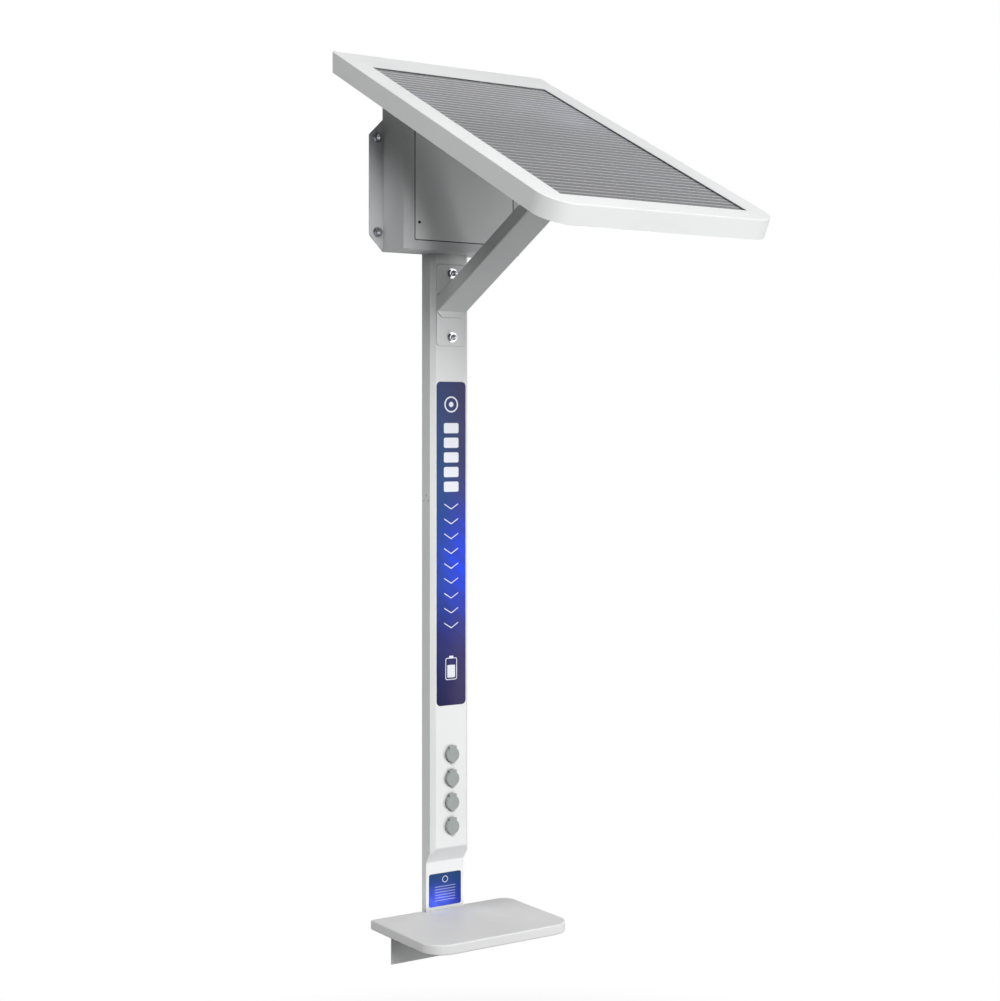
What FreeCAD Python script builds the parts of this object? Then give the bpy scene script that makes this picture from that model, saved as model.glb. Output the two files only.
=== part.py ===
import FreeCAD, Part
import math
import os
import re
import Sketcher
from FreeCAD import Placement, Rotation, Vector

# Solar charging post that hangs on a wall or on the back of a bench.
# +X is to the right as seen from the front, -Y is the front, +Z is up.
# The origin is the centre of the four wall studs, in the rear plane Y = 0.
# Lengths are in millimetres and angles in degrees.
sizes = {
    # column, a folded steel channel with a shallow foot
    "column_width": 100, "column_depth": 44, "column_chamfer": 10, "column_wall": 2.5,
    "column_bend": 2, "back_plate_thickness": 2, "return_width": 11,
    "deep_length": 1337, "step_height": 35, "foot_length": 112, "foot_depth": 18, "step_bend": 8,
    "back_screw_inset": 7, "back_screw_end": 40,
    "vent_hole_radius": 2, "vent_spacing": 21, "vent_height": 12, "vent_drop": 544,
    # labels
    "label_thickness": 0.6, "long_label_width": 77, "long_label_length": 729, "long_label_drop": 288,
    "long_label_corner": 10, "small_label_width": 85, "small_label_height": 74, "small_label_corner": 5,
    "small_label_rise": 47,
    # charging sockets with flip caps
    "socket_pitch": 54, "socket_rise": 47, "flange_radius": 16.5, "flange_thickness": 3.5, "flange_edge": 0.5,
    "barrel_radius": 14.3, "barrel_length": 31, "barrel_clearance": 0.2, "recess_radius": 13,
    "recess_depth": 5.5, "ring_nut_radius": 17, "ring_nut_thickness": 4,
    "port_width": 13.1, "port_height": 5.7, "port_wall": 0.4, "port_length": 14, "port_spacing": 11,
    "tongue_width": 11, "tongue_thickness": 1.8, "tongue_length": 8.5, "tongue_root": 3,
    "cap_radius": 16.2, "cap_thickness": 6, "cap_wall": 2, "cap_gap": 0.3, "cap_edge": 0.8,
    "cap_tab_width": 18.5, "cap_tab_rise": 20.4, "cap_lip_width": 9, "cap_lip_drop": 17.9,
    "hinge_rise": 17.9, "hinge_offset": 6.1, "hinge_pin_radius": 1.2, "hinge_pin_clearance": 0.05,
    "knuckle_radius": 2.5, "knuckle_width": 11, "knuckle_gap": 0.3, "lug_thickness": 2.6, "lug_radius": 2.2,
    "lug_root": 2, "lug_strap_rise": 1, "cap_window_drop": 3.5,
    # battery cabinet
    "floor_drop": 148, "cabinet_width": 306, "cabinet_depth": 102, "cabinet_chamfer": 10, "cabinet_wall": 2,
    "cabinet_bend": 2, "ear_thickness": 3, "ear_width": 376, "ear_height": 223, "ear_chamfer": 35,
    "ear_corner": 8,
    "cover_side": 24, "cover_low": 21, "cover_top": 22, "cover_gap": 1.2, "cover_corner": 3,
    "gasket_thickness": 2, "gasket_width": 20, "frame_overlap": 9, "frame_lip": 2, "frame_thickness": 2,
    "cover_screw_inset": 10.5, "cover_screw_rise": 38, "cover_screw_radius": 2, "cover_screw_head": 3,
    "cover_screw_head_height": 1.6, "cover_screw_spare": 3,
    # battery, charge controller and fuse holder
    "tray_rise": 46, "tray_thickness": 3, "tray_side": 8, "tray_lip": 12, "tray_flange": 28,
    "battery_width": 181, "battery_height": 167, "battery_depth": 76, "battery_shift": -40,
    "battery_gap": 0.5, "terminal_size": 12, "terminal_height": 7, "terminal_inset": 20,
    "tray_screw_spacing": 150, "strap_height": 24, "strap_thickness": 2, "strap_ear": 16, "strap_rise": 90,
    "controller_width": 62, "controller_height": 128, "controller_depth": 34, "controller_shift": 106,
    "controller_rise": 30, "controller_flange": 9, "controller_flange_thickness": 3,
    "controller_screw_spacing": 46, "fuse_radius": 9, "fuse_length": 62, "fuse_base_width": 20,
    "fuse_rise": 246, "small_screw_radius": 2, "small_screw_head": 4, "small_screw_head_height": 2.6,
    "small_screw_grip": 1.5,
    # studs with dome nuts, on the wall and at the foot of the strut
    "stud_radius": 5, "stud_neck_radius": 4.5, "stud_clearance": 0.3, "stud_spacing_across": 336,
    "stud_spacing_up": 210, "stud_tail": 20, "stud_reach": 8, "washer_radius": 11, "washer_thickness": 2,
    "nut_across_flats": 17, "nut_height": 7, "dome_radius": 7, "nut_spare": 1, "strut_stud_spacing": 144,
    # strut
    "strut_width": 78, "strut_depth": 32, "strut_wall": 3, "strut_corner": 4, "strut_angle": 27.85,
    "strut_drop": 133, "foot_plate_length": 182, "foot_plate_thickness": 2.5, "foot_plate_corner": 8,
    "foot_plate_drop": 116, "end_plate_thickness": 3, "end_plate_lip": 13, "end_plate_chamfer": 12,
    "backing_width": 60, "backing_thickness": 4, "top_plate_width": 130, "top_plate_length": 90,
    "top_plate_thickness": 4, "top_plate_corner": 8, "top_bolt_across": 104, "top_bolt_along": 60,
    "bar_width": 84, "bar_thickness": 5,
    # panel housing, a folded tray that leans forward
    "panel_tilt": 26.7, "housing_rise": 285, "housing_width": 558, "housing_length": 931,
    "housing_thickness": 42, "housing_wall": 2.5, "housing_corner": 60, "housing_edge": 2.2,
    "bezel_side": 51, "bezel_rear": 96, "bezel_front": 52, "base_thickness": 2, "base_clearance": 0.5,
    "rim_width": 20, "rim_thickness": 3, "base_screw_across": 420,
    # photovoltaic module under the opening
    "module_overlap": 14, "module_height": 28, "module_wall": 2.5, "module_ledge": 9,
    "module_ledge_thickness": 2, "module_play": 0.5, "glass_thickness": 3.2, "cell_thickness": 1.1,
    "junction_width": 110, "junction_length": 80, "junction_height": 16, "junction_setback": 50,
    "clamp_width": 26, "clamp_reach": 14, "clamp_thickness": 3, "clamp_stud_gap": 8.5, "clamp_leg_gap": 14,
    "clamp_setback": 160, "clamp_stud_radius": 2.5, "clamp_nut_across_flats": 8, "clamp_nut_height": 4,
    "clamp_stud_spare": 1,
    # screws, bolts and bushes that join the cabinet, the column and the housing
    "sunk_screw_radius": 2, "sunk_screw_head": 3.8, "sunk_screw_length": 7, "sunk_head_depth": 1.8,
    "roof_bolt_across": 240, "roof_bolt_along": 50, "roof_bolt_setback": 34, "roof_bolt_radius": 4,
    "roof_bolt_across_flats": 13, "roof_bolt_head": 5.3, "roof_nut_height": 6.5, "bolt_spare": 2,
    "floor_bolt_across": 68, "floor_bolt_setback": 28, "floor_bolt_radius": 3,
    "floor_bolt_across_flats": 10, "floor_bolt_head": 4, "floor_nut_height": 5,
    "cable_hole_radius": 11, "cable_hole_setback": 22, "roof_hole_setback": 59, "grommet_lip": 3,
    "grommet_bore": 7,
    # shelf and its bracket
    "shelf_width": 365, "shelf_depth": 264, "shelf_thickness": 22, "shelf_rear_corner": 30,
    "shelf_front_corner": 50, "shelf_edge": 3, "bracket_width": 262, "bracket_drop": 85.5,
    "bracket_thickness": 3, "bracket_depth": 200, "bracket_corner": 25, "bracket_hole_radius": 4.5,
    "bracket_hole_spacing": 190, "bracket_hole_drop": 25.5, "shelf_screw_across": 220,
    "shelf_screw_along": 130, "shelf_screw_setback": 40, "shelf_screw_grip": 15,
    "foot_bolt_across": 52, "foot_bolt_setback": 9,
}
socket_count = 4
back_screw_rows = 5
base_screw_rows = 4

# heights and distances that several pieces share, as formulas of the sizes
floor_z = "(-floor_drop)"
fold_z = f"({floor_z} - deep_length)"
step_z = f"({fold_z} - step_height)"
shelf_z = f"({step_z} - foot_length)"
under_z = f"({shelf_z} - shelf_thickness)"
leg_z = f"({under_z} - bracket_thickness)"
tray_z = f"({floor_z} + tray_rise)"
battery_z = f"({tray_z} + tray_thickness)"
foot_plate_z = f"({floor_z} - foot_plate_drop)"
column_inside = "(column_depth - column_wall)"
cabinet_inside = "(cabinet_depth - cabinet_wall)"
stud_grip = "(washer_thickness + stud_reach)"
foot_plate_face = "(column_depth + foot_plate_thickness)"
end_plate_face = f"({foot_plate_face} + end_plate_thickness)"
hinge_face = "(hinge_offset + knuckle_radius)"
cap_back = "(flange_thickness + cap_gap)"
cap_front = f"({cap_back} + cap_thickness)"
port_face = "(flange_thickness - recess_depth)"
cover_half = "(cabinet_width / 2 - cover_side)"
module_half = "(housing_width / 2 - bezel_side + module_overlap)"
module_rear = "(-bezel_rear + module_overlap)"
module_front = "(-housing_length + bezel_front - module_overlap)"
module_under = "(-housing_wall - module_height)"
laminate = "(glass_thickness + cell_thickness)"
housing_under = "(-housing_thickness)"
base_top = "(-housing_thickness + base_thickness)"
housing_inside = "(housing_width / 2 - housing_wall)"
housing_rear = "(-housing_thickness * tan(panel_tilt))"
base_rear = f"({housing_rear} - housing_wall / cos(panel_tilt))"
base_front = "(-housing_length + housing_wall)"
rim_inside = f"({housing_inside} - rim_width)"
clamp_under = f"({module_under} - clamp_thickness)"

doc = FreeCAD.newDocument("charging_post")
sheet = doc.addObject("Spreadsheet::Sheet", "Sizes")
for row, (alias, number) in enumerate(sizes.items(), start=1):
    sheet.set(f"A{row}", alias)
    sheet.set(f"B{row}", str(number))
    sheet.setAlias(f"B{row}", alias)
doc.recompute()

pieces = []
upward = Rotation()
downward = Rotation(Vector(1, 0, 0), 180)
frontward = Rotation(Vector(1, 0, 0), 90)
rearward = Rotation(Vector(1, 0, 0), -90)
rightward = Rotation(Vector(0, 1, 0), 90)
turned_round = Rotation(Vector(0, 0, 1), 180)
along_x, along_y, along_z = Vector(1, 0, 0), Vector(0, 1, 0), Vector(0, 0, 1)
centre = ("0", "0", "0")


def linked(formula):
    """The formula with each size's name pointing at its cell."""
    return re.sub(r"\b[a-z]+(?:_[a-z]+)+\b", lambda word: "Sizes." + word.group(0), str(formula))


def bind(thing, prop, formula):
    thing.setExpression(prop, linked(formula))


def place(thing, corner, turn=upward):
    """Turns a thing, then puts its own origin at three formulas."""
    thing.Placement = Placement(Vector(), turn)
    for letter, formula in zip("xyz", corner):
        bind(thing, f"Placement.Base.{letter}", formula)
    return thing


def lean(thing):
    """Puts a thing drawn in the panel's own frame on the leaning panel.

    In that frame the X axis is the rear top edge of the housing, -Y runs down its slope and Z is its normal.
    """
    thing.Placement = Placement(Vector(), Rotation(along_x, 1))
    bind(thing, "Placement.Rotation.Angle", "panel_tilt")
    bind(thing, "Placement.Base.z", "housing_rise")
    return thing


def piece(thing):
    """Keeps a thing as one piece of the post, written to a file of its name."""
    pieces.append(thing)
    return thing


def span(width, middle="0"):
    """The two ends of a width that lies evenly about a middle."""
    return f"({middle} - ({width}) / 2)", f"({middle} + ({width}) / 2)"


def pairs(across, rows):
    """Points at plus and minus half of across, at each height of the rows."""
    return [(x, row) for row in rows for x in span(across)]


# plain solids, and what joins or cuts them
def block(name, x, y, z):
    """A box between pairs of formulas, the lower one first."""
    thing = doc.addObject("Part::Box", name)
    for prop, (low, high) in zip(("Length", "Width", "Height"), (x, y, z)):
        bind(thing, prop, f"{high} - ({low})")
    return place(thing, (x[0], y[0], z[0]))


def rod(name, radius, length, base=centre, turn=upward):
    thing = doc.addObject("Part::Cylinder", name)
    bind(thing, "Radius", radius)
    bind(thing, "Height", length)
    return place(thing, base, turn)


def cone(name, radius, end_radius, length, base=centre, turn=upward):
    thing = doc.addObject("Part::Cone", name)
    bind(thing, "Radius1", radius)
    bind(thing, "Radius2", end_radius)
    bind(thing, "Height", length)
    return place(thing, base, turn)


def hexagon(name, across_flats, length, base=centre):
    thing = doc.addObject("Part::Prism", name)
    thing.Polygon = 6
    bind(thing, "Circumradius", f"{across_flats} / 2 / cos(30)")
    bind(thing, "Height", length)
    return place(thing, base)


def dome(name, radius, base):
    """The upper half of a ball."""
    thing = doc.addObject("Part::Sphere", name)
    bind(thing, "Radius", radius)
    thing.Angle1 = 0
    return place(thing, base)


def fuse(name, things):
    thing = doc.addObject("Part::MultiFuse", name)
    thing.Shapes = things
    thing.Refine = True
    return thing


def cut(name, base, tool):
    thing = doc.addObject("Part::Cut", name)
    thing.Base, thing.Tool = base, tool
    return thing


def group(name, things):
    thing = doc.addObject("Part::Compound", name)
    thing.Links = things
    return thing


def drilled(name, base, tools):
    """The piece that is left of base when the fasteners and drills that go through it are cut out."""
    tool = tools[0] if len(tools) == 1 else group(name + "_tools", tools)
    return piece(cut(name, base, tool))


def repeat(name, places, turn, draw):
    """Draws a thing about the origin once for each place, and puts it there turned."""
    return group(name, [place(draw(f"{name}_{i}"), spot, turn) for i, spot in enumerate(places)])


# bodies made from sketches
def body(name):
    return doc.addObject("PartDesign::Body", name)


def sketch(owner, name, plane, offset="0"):
    """A sketch on one of the body's own planes, moved along the plane's normal: +X, -Y or +Z."""
    drawing = owner.newObject("Sketcher::SketchObject", f"{owner.Name}_{name}")
    support = [feature for feature in owner.Origin.OriginFeatures if feature.Role == plane + "_Plane"][0]
    drawing.AttachmentSupport = (support, [""])
    drawing.MapMode = "FlatFace"
    bind(drawing, "AttachmentOffset.Base.z", offset)
    return drawing


def fix_point(drawing, geometry, position, x, y):
    """Fixes a sketch point by its two distances from the sketch's origin."""
    for kind, formula in (("DistanceX", x), ("DistanceY", y)):
        number = drawing.addConstraint(Sketcher.Constraint(kind, -1, 1, geometry, position, 1.0))
        bind(drawing, f"Constraints[{number}]", formula)


def polygon(drawing, corners):
    """A closed outline through corners given as pairs of formulas."""
    count, first = len(corners), drawing.GeometryCount
    angles = [2 * math.pi * i / count for i in range(count + 1)]
    ring = [Vector(9 * math.cos(angle), 9 * math.sin(angle), 0) for angle in angles]
    for start, end in zip(ring, ring[1:]):
        drawing.addGeometry(Part.LineSegment(start, end))
    for i in range(count):
        following = first + (i + 1) % count
        drawing.addConstraint(Sketcher.Constraint("Coincident", first + i, 2, following, 1))
    for i, (x, y) in enumerate(corners):
        fix_point(drawing, first + i, 1, x, y)
    return drawing


def rectangle(drawing, x, y):
    """A rectangle between two pairs of formulas."""
    return polygon(drawing, [(x[0], y[0]), (x[1], y[0]), (x[1], y[1]), (x[0], y[1])])


def circle(drawing, x, y, radius):
    number = drawing.addGeometry(Part.Circle(Vector(1, 1, 0), along_z, 1))
    fix_point(drawing, number, 3, x, y)
    limit = drawing.addConstraint(Sketcher.Constraint("Radius", number, 1.0))
    bind(drawing, f"Constraints[{limit}]", radius)
    return drawing


def pad(owner, drawing, length, both_ways=False):
    """Fills a sketch along its plane's normal, or evenly to both sides of the plane."""
    feature = owner.newObject("PartDesign::Pad", drawing.Name + "_pad")
    feature.Profile = (drawing, [""])
    if both_ways:
        feature.SideType = "Symmetric"
    bind(feature, "Length", length)
    return feature


def pocket(owner, drawing, length, both_ways=False):
    """Cuts a sketch along its plane's normal, or evenly to both sides of the plane."""
    feature = owner.newObject("PartDesign::Pocket", drawing.Name + "_pocket")
    feature.Profile = (drawing, [""])
    feature.Reversed = True
    if both_ways:
        feature.SideType = "Symmetric"
    bind(feature, "Length", length)
    return feature


def round_edges(owner, name, radius, wanted):
    """Rounds the edges of the body so far for which wanted(edge, box of the body) is true."""
    doc.recompute()
    tip, bounds = owner.Tip, owner.Tip.Shape.BoundBox
    names = [f"Edge{i}" for i, edge in enumerate(tip.Shape.Edges, start=1) if wanted(edge, bounds)]
    feature = owner.newObject("PartDesign::Fillet", f"{owner.Name}_{name}")
    feature.Base = (tip, names)
    bind(feature, "Radius", radius)
    return feature


def hollow(owner, wall, is_open):
    """Leaves a wall inside the body's outer faces, and none at the faces where is_open(face, box) is true."""
    doc.recompute()
    tip, bounds = owner.Tip, owner.Tip.Shape.BoundBox
    names = [f"Face{i}" for i, face in enumerate(tip.Shape.Faces, start=1) if is_open(face, bounds)]
    feature = owner.newObject("PartDesign::Thickness", owner.Name + "_walls")
    feature.Base = (tip, names)
    feature.Reversed = True
    bind(feature, "Value", wall)
    return feature


def near(value, target):
    return abs(value - target) < 1e-3


def runs_along(edge, axis):
    """Whether an edge is straight and parallel to an axis."""
    return isinstance(edge.Curve, Part.Line) and near(abs(edge.Curve.Direction.dot(axis)), 1)


def corners_along(axis):
    """Picks every straight edge parallel to an axis, such as the corners of a plate."""
    return lambda edge, bounds: runs_along(edge, axis)


def faces_rear(face, bounds):
    return near(face.BoundBox.YMin, bounds.YMax)


def half_octagon(name, rear):
    """Plan of a folded case: open to the rear, its two front corners cut at 45 degrees."""
    half, depth, corner = f"{name}_width / 2", f"{name}_depth", f"{name}_chamfer"
    return [
        (f"-{half}", f"-{rear}"), (f"-{half}", f"-{depth} + {corner}"),
        (f"-{half} + {corner}", f"-{depth}"), (f"{half} - {corner}", f"-{depth}"),
        (half, f"-{depth} + {corner}"), (half, f"-{rear}"),
    ]


def front_bends(name):
    """Picks the four upright bends of a folded case, at the ends of its two cut corners."""
    half, depth, corner = sizes[name + "_width"] / 2, sizes[name + "_depth"], sizes[name + "_chamfer"]
    bends = [(half, corner - depth), (half - corner, -depth)]

    def wanted(edge, bounds):
        middle = edge.CenterOfMass
        spot = (abs(middle.x), middle.y)
        return runs_along(edge, along_z) and any(math.dist(spot, bend) < 1e-3 for bend in bends)
    return wanted


# fasteners, each drawn with its seat at the origin, its head above and its shank below
def hex_bolt(radius, across_flats, head, length):
    def draw(name):
        top = hexagon(name + "_head", across_flats, head)
        return fuse(name, [top, rod(name + "_shank", radius, length, ("0", "0", f"-({length})"))])
    return draw


def pan_screw(radius, head_radius, head, length):
    def draw(name):
        top = rod(name + "_head", head_radius, head)
        return fuse(name, [top, rod(name + "_shank", radius, length, ("0", "0", f"-({length})"))])
    return draw


def sunk_screw(name):
    """A screw whose conical head ends flush with its seat."""
    top = cone(name + "_head", "sunk_screw_radius", "sunk_screw_head", "sunk_head_depth",
               ("0", "0", "-sunk_head_depth"))
    shank = rod(name + "_shank", "sunk_screw_radius", "sunk_screw_length", ("0", "0", "-sunk_screw_length"))
    return fuse(name, [top, shank])


def hex_nut(radius, across_flats, height):
    def draw(name):
        return cut(name, hexagon(name + "_block", across_flats, height), rod(name + "_hole", radius, height))
    return draw


def ring(radius, hole_radius, height):
    def draw(name):
        return cut(name, rod(name + "_disc", radius, height), rod(name + "_hole", hole_radius, height))
    return draw


def stud(radius, length):
    return lambda name: rod(name, radius, length)


def shouldered_stud(name):
    """A stud from the end of its tail, whose shoulder rests on the rear of the ear plate."""
    neck = rod(name + "_neck", "stud_neck_radius", f"ear_thickness + {stud_grip}", ("0", "0", "stud_tail"))
    return fuse(name, [rod(name + "_tail", "stud_radius", "stud_tail"), neck])


def dome_nut(name):
    """A hexagon nut closed by a dome, with a blind hole."""
    outside = fuse(name + "_outside", [
        hexagon(name + "_block", "nut_across_flats", "nut_height"),
        dome(name + "_dome", "dome_radius", ("0", "0", "nut_height")),
    ])
    return cut(name, outside, rod(name + "_hole", "stud_neck_radius", "stud_reach + nut_spare"))


def cable_bush(name, stack):
    """A rubber bush through a stack of sheets that starts at the origin, with a lip on each face."""
    lip_radius = "cable_hole_radius + grommet_lip"
    outside = fuse(name + "_outside", [
        rod(name + "_waist", "cable_hole_radius", stack),
        rod(name + "_low_lip", lip_radius, "grommet_lip", ("0", "0", "-grommet_lip")),
        rod(name + "_high_lip", lip_radius, "grommet_lip", ("0", "0", stack)),
    ])
    bore = rod(name + "_bore", "grommet_bore", f"{stack} + 2 * grommet_lip", ("0", "0", "-grommet_lip"))
    return cut(name, outside, bore)


# column
def make_column_fasteners():
    rows = [f"({shelf_z} + back_screw_end + {i} * ({floor_z} - {shelf_z} - 2 * back_screw_end)"
            f" / {back_screw_rows - 1})" for i in range(back_screw_rows)]
    places = [(x, "0", z) for x, z in pairs("(column_width - 2 * back_screw_inset)", rows)]
    repeat("back_screws", places, rearward, sunk_screw)

    stack = "(cabinet_wall + column_wall)"
    places = [(x, "-floor_bolt_setback", f"{floor_z} + cabinet_wall") for x in span("floor_bolt_across")]
    piece(repeat("floor_bolts", places, upward, hex_bolt(
        "floor_bolt_radius", "floor_bolt_across_flats", "floor_bolt_head",
        f"({stack} + floor_nut_height + bolt_spare)")))
    nut = hex_nut("floor_bolt_radius", "floor_bolt_across_flats", "floor_nut_height")
    places = [(x, "-floor_bolt_setback", f"{floor_z} - column_wall") for x in span("floor_bolt_across")]
    floor_nuts = repeat("floor_nuts", places, downward, nut)
    place(cable_bush("floor_bush", stack), ("0", "-cable_hole_setback", f"{floor_z} - column_wall"))

    places = [(x, "-foot_bolt_setback", leg_z) for x in span("foot_bolt_across")]
    piece(repeat("foot_bolts", places, downward, hex_bolt(
        "floor_bolt_radius", "floor_bolt_across_flats", "floor_bolt_head",
        "(bracket_thickness + shelf_thickness + column_wall + floor_nut_height + bolt_spare)")))
    places = [(x, "-foot_bolt_setback", f"{shelf_z} + column_wall") for x in span("foot_bolt_across")]
    piece(group("small_hex_nuts", [floor_nuts, repeat("foot_nuts", places, upward, nut)]))


def floor_cable_drill(name):
    """What is cut from the sheets that the lower bush goes through."""
    return rod(name, "cable_hole_radius", "4 * column_wall",
               ("0", "-cable_hole_setback", f"{floor_z} - 2 * column_wall"))


def step_bends(edge, bounds):
    """The two folds of the slanted step, across the front."""
    height = edge.CenterOfMass.z
    return runs_along(edge, along_x) and not near(height, bounds.ZMin) and not near(height, bounds.ZMax)


def make_column():
    channel = body("channel")
    plan = polygon(sketch(channel, "plan", "XY", shelf_z), half_octagon("column", "back_plate_thickness"))
    pad(channel, plan, f"{floor_z} - {shelf_z}")
    beyond, below = "-2 * column_depth", f"{shelf_z} - step_height"
    step = polygon(sketch(channel, "step", "YZ"), [
        ("-column_depth", fold_z), ("-foot_depth", step_z), ("-foot_depth", below), (beyond, below),
        (beyond, fold_z),
    ])
    pocket(channel, step, "2 * column_width", both_ways=True)
    round_edges(channel, "step_bends", "step_bend", step_bends)
    hollow(channel, "column_wall", faces_rear)
    returns = sketch(channel, "returns", "XY", f"{shelf_z} + column_wall / 2")
    for side in ("-", ""):
        edges = [f"{side}(column_width - column_wall) / 2",
                 f"{side}(column_width / 2 - column_wall - return_width)"]
        rectangle(returns, edges, ("-back_plate_thickness - column_wall", "-back_plate_thickness"))
    pad(channel, returns, f"{floor_z} - {shelf_z} - column_wall")
    round_edges(channel, "bends", "column_bend", front_bends("column"))
    holes = sketch(channel, "front_holes", "XZ", f"{column_inside} - column_wall")
    for i in range(socket_count):
        circle(holes, "0", socket_z(i), "barrel_radius + barrel_clearance")
    for z in span("strut_stud_spacing", foot_plate_z):
        circle(holes, "0", z, "stud_neck_radius + stud_clearance")
    pocket(channel, holes, "3 * column_wall")
    vents = sketch(channel, "vents", "YZ", "-column_width / 2 - column_wall")
    circle(vents, "-foot_depth", f"{floor_z} - vent_drop", "vent_hole_radius")
    for y in span("vent_spacing", "-foot_depth"):
        circle(vents, y, f"{floor_z} - vent_drop - vent_height", "vent_hole_radius")
    pocket(channel, vents, "3 * column_wall")
    drilled("column_channel", channel, [
        doc.back_screws, doc.floor_bolts, doc.foot_bolts, floor_cable_drill("channel_drill")])

    plate = body("rear_plate")
    outline = rectangle(sketch(plate, "outline", "XZ"), span("column_width"), (shelf_z, floor_z))
    pad(plate, outline, "back_plate_thickness")
    drilled("column_back_plate", plate, [doc.back_screws])


def make_label(name, width, z, corner, face):
    paper = piece(body(name))
    outline = rectangle(sketch(paper, "outline", "XZ", face), span(width), z)
    pad(paper, outline, "label_thickness")
    round_edges(paper, "corners", corner, corners_along(along_y))


def make_labels():
    top = f"({floor_z} - long_label_drop)"
    make_label("long_label", "long_label_width", (f"({top} - long_label_length)", top), "long_label_corner",
               "column_depth")
    middle = f"({shelf_z} + small_label_rise)"
    make_label("small_label", "small_label_width", span("small_label_height", middle), "small_label_corner",
               "foot_depth")


# charging sockets; each is drawn about the middle of its hole in the column's front face
def socket_z(i):
    return f"({fold_z} + socket_rise + {i} * socket_pitch)"


def socket_place(i):
    return "0", "-column_depth", socket_z(i)


def port_middles():
    return span("port_spacing")


def make_socket(i):
    """A round socket with a barrel behind, two ports in a recess and two hinge lugs at its top."""
    socket = piece(body(f"usb_socket_{i + 1}"))
    flange = circle(sketch(socket, "flange", "XZ"), "0", "0", "flange_radius")
    pad(socket, flange, "flange_thickness")
    barrel = circle(sketch(socket, "barrel", "XZ", "-barrel_length"), "0", "0", "barrel_radius")
    pad(socket, barrel, "barrel_length + flange_thickness / 2")
    round_edges(socket, "rim", "flange_edge", lambda edge, bounds: (
        near(edge.BoundBox.YMax, bounds.YMin) and near(edge.BoundBox.XMax, bounds.XMax)))
    lugs = "(knuckle_width + 2 * knuckle_gap + 2 * lug_thickness)"
    strap = rectangle(sketch(socket, "lug_strap", "YZ"), ("-hinge_offset", "-lug_root"),
                      ("hinge_rise - lug_radius", "hinge_rise + lug_strap_rise"))
    pad(socket, strap, lugs, both_ways=True)
    eye = circle(sketch(socket, "lug_eye", "YZ"), "-hinge_offset", "hinge_rise", "lug_radius")
    pad(socket, eye, lugs, both_ways=True)
    slot = rectangle(sketch(socket, "lug_slot", "YZ"), (f"-2 * {hinge_face}", "-flange_thickness"),
                     span("4 * knuckle_radius", "hinge_rise"))
    pocket(socket, slot, "knuckle_width + 2 * knuckle_gap", both_ways=True)
    lift = rectangle(sketch(socket, "lug_lift", "YZ"), ("-2 * flange_thickness", "0"),
                     ("flange_radius", "2 * flange_radius"))
    pocket(socket, lift, "knuckle_width + 2 * knuckle_gap", both_ways=True)
    hole = circle(sketch(socket, "pin_hole", "YZ"), "-hinge_offset", "hinge_rise", "hinge_pin_radius")
    pocket(socket, hole, "2 * flange_radius", both_ways=True)
    recess = circle(sketch(socket, "recess", "XZ", port_face), "0", "0", "recess_radius")
    pocket(socket, recess, "2 * recess_depth")
    slots = sketch(socket, "slots", "XZ", f"{port_face} - port_length - tongue_root")
    for middle in port_middles():
        rectangle(slots, span("port_width"), span("port_height", middle))
    pocket(socket, slots, "3 * port_length")
    place(socket, socket_place(i))


def make_cap(i):
    """A shallow round cap with a flat tab over its hinge, a knuckle round the pin and a finger lip."""
    cap = piece(body(f"usb_cap_{i + 1}"))
    disc = circle(sketch(cap, "disc", "XZ", cap_back), "0", "0", "cap_radius")
    pad(cap, disc, "cap_thickness")
    for name, width, z in (
        ("tab", "cap_tab_width", ("0", "cap_tab_rise")), ("lip", "cap_lip_width", ("-cap_lip_drop", "0"))
    ):
        outline = rectangle(sketch(cap, name, "XZ", hinge_face), span(width), z)
        pad(cap, outline, f"{cap_front} - {hinge_face}")
    round_edges(cap, "rim", "cap_edge", lambda edge, bounds: near(edge.BoundBox.YMax, bounds.YMin))
    inside = circle(sketch(cap, "inside", "XZ", cap_back), "0", "0", "cap_radius - cap_wall")
    pocket(cap, inside, "cap_thickness - cap_wall")
    window = rectangle(sketch(cap, "window", "XZ"), span("cap_tab_width"),
                       ("hinge_rise - lug_radius - cap_window_drop", "2 * cap_tab_rise"))
    pocket(cap, window, hinge_face)
    web = rectangle(sketch(cap, "web", "XZ", "hinge_offset"), span("knuckle_width"),
                    span("2 * knuckle_radius", "hinge_rise"))
    pad(cap, web, f"{cap_front} - cap_edge - hinge_offset")
    knuckle = circle(sketch(cap, "knuckle", "YZ"), "-hinge_offset", "hinge_rise", "knuckle_radius")
    pad(cap, knuckle, "knuckle_width", both_ways=True)
    bore = circle(sketch(cap, "bore", "YZ"), "-hinge_offset", "hinge_rise",
                  "hinge_pin_radius + hinge_pin_clearance")
    pocket(cap, bore, "2 * knuckle_width", both_ways=True)
    place(cap, socket_place(i))


def port_shells(name):
    """The two thin metal sleeves of a socket, open to the front."""
    y = (f"-{port_face}", f"-{port_face} + port_length")
    sleeves = []
    for end, middle in zip(("low", "high"), port_middles()):
        outside = block(f"{name}_{end}_outside", span("port_width"), y, span("port_height", middle))
        inside = block(f"{name}_{end}_inside", span("port_width - 2 * port_wall"), y,
                       span("port_height - 2 * port_wall", middle))
        sleeves.append(cut(f"{name}_{end}", outside, inside))
    return group(name, sleeves)


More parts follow.
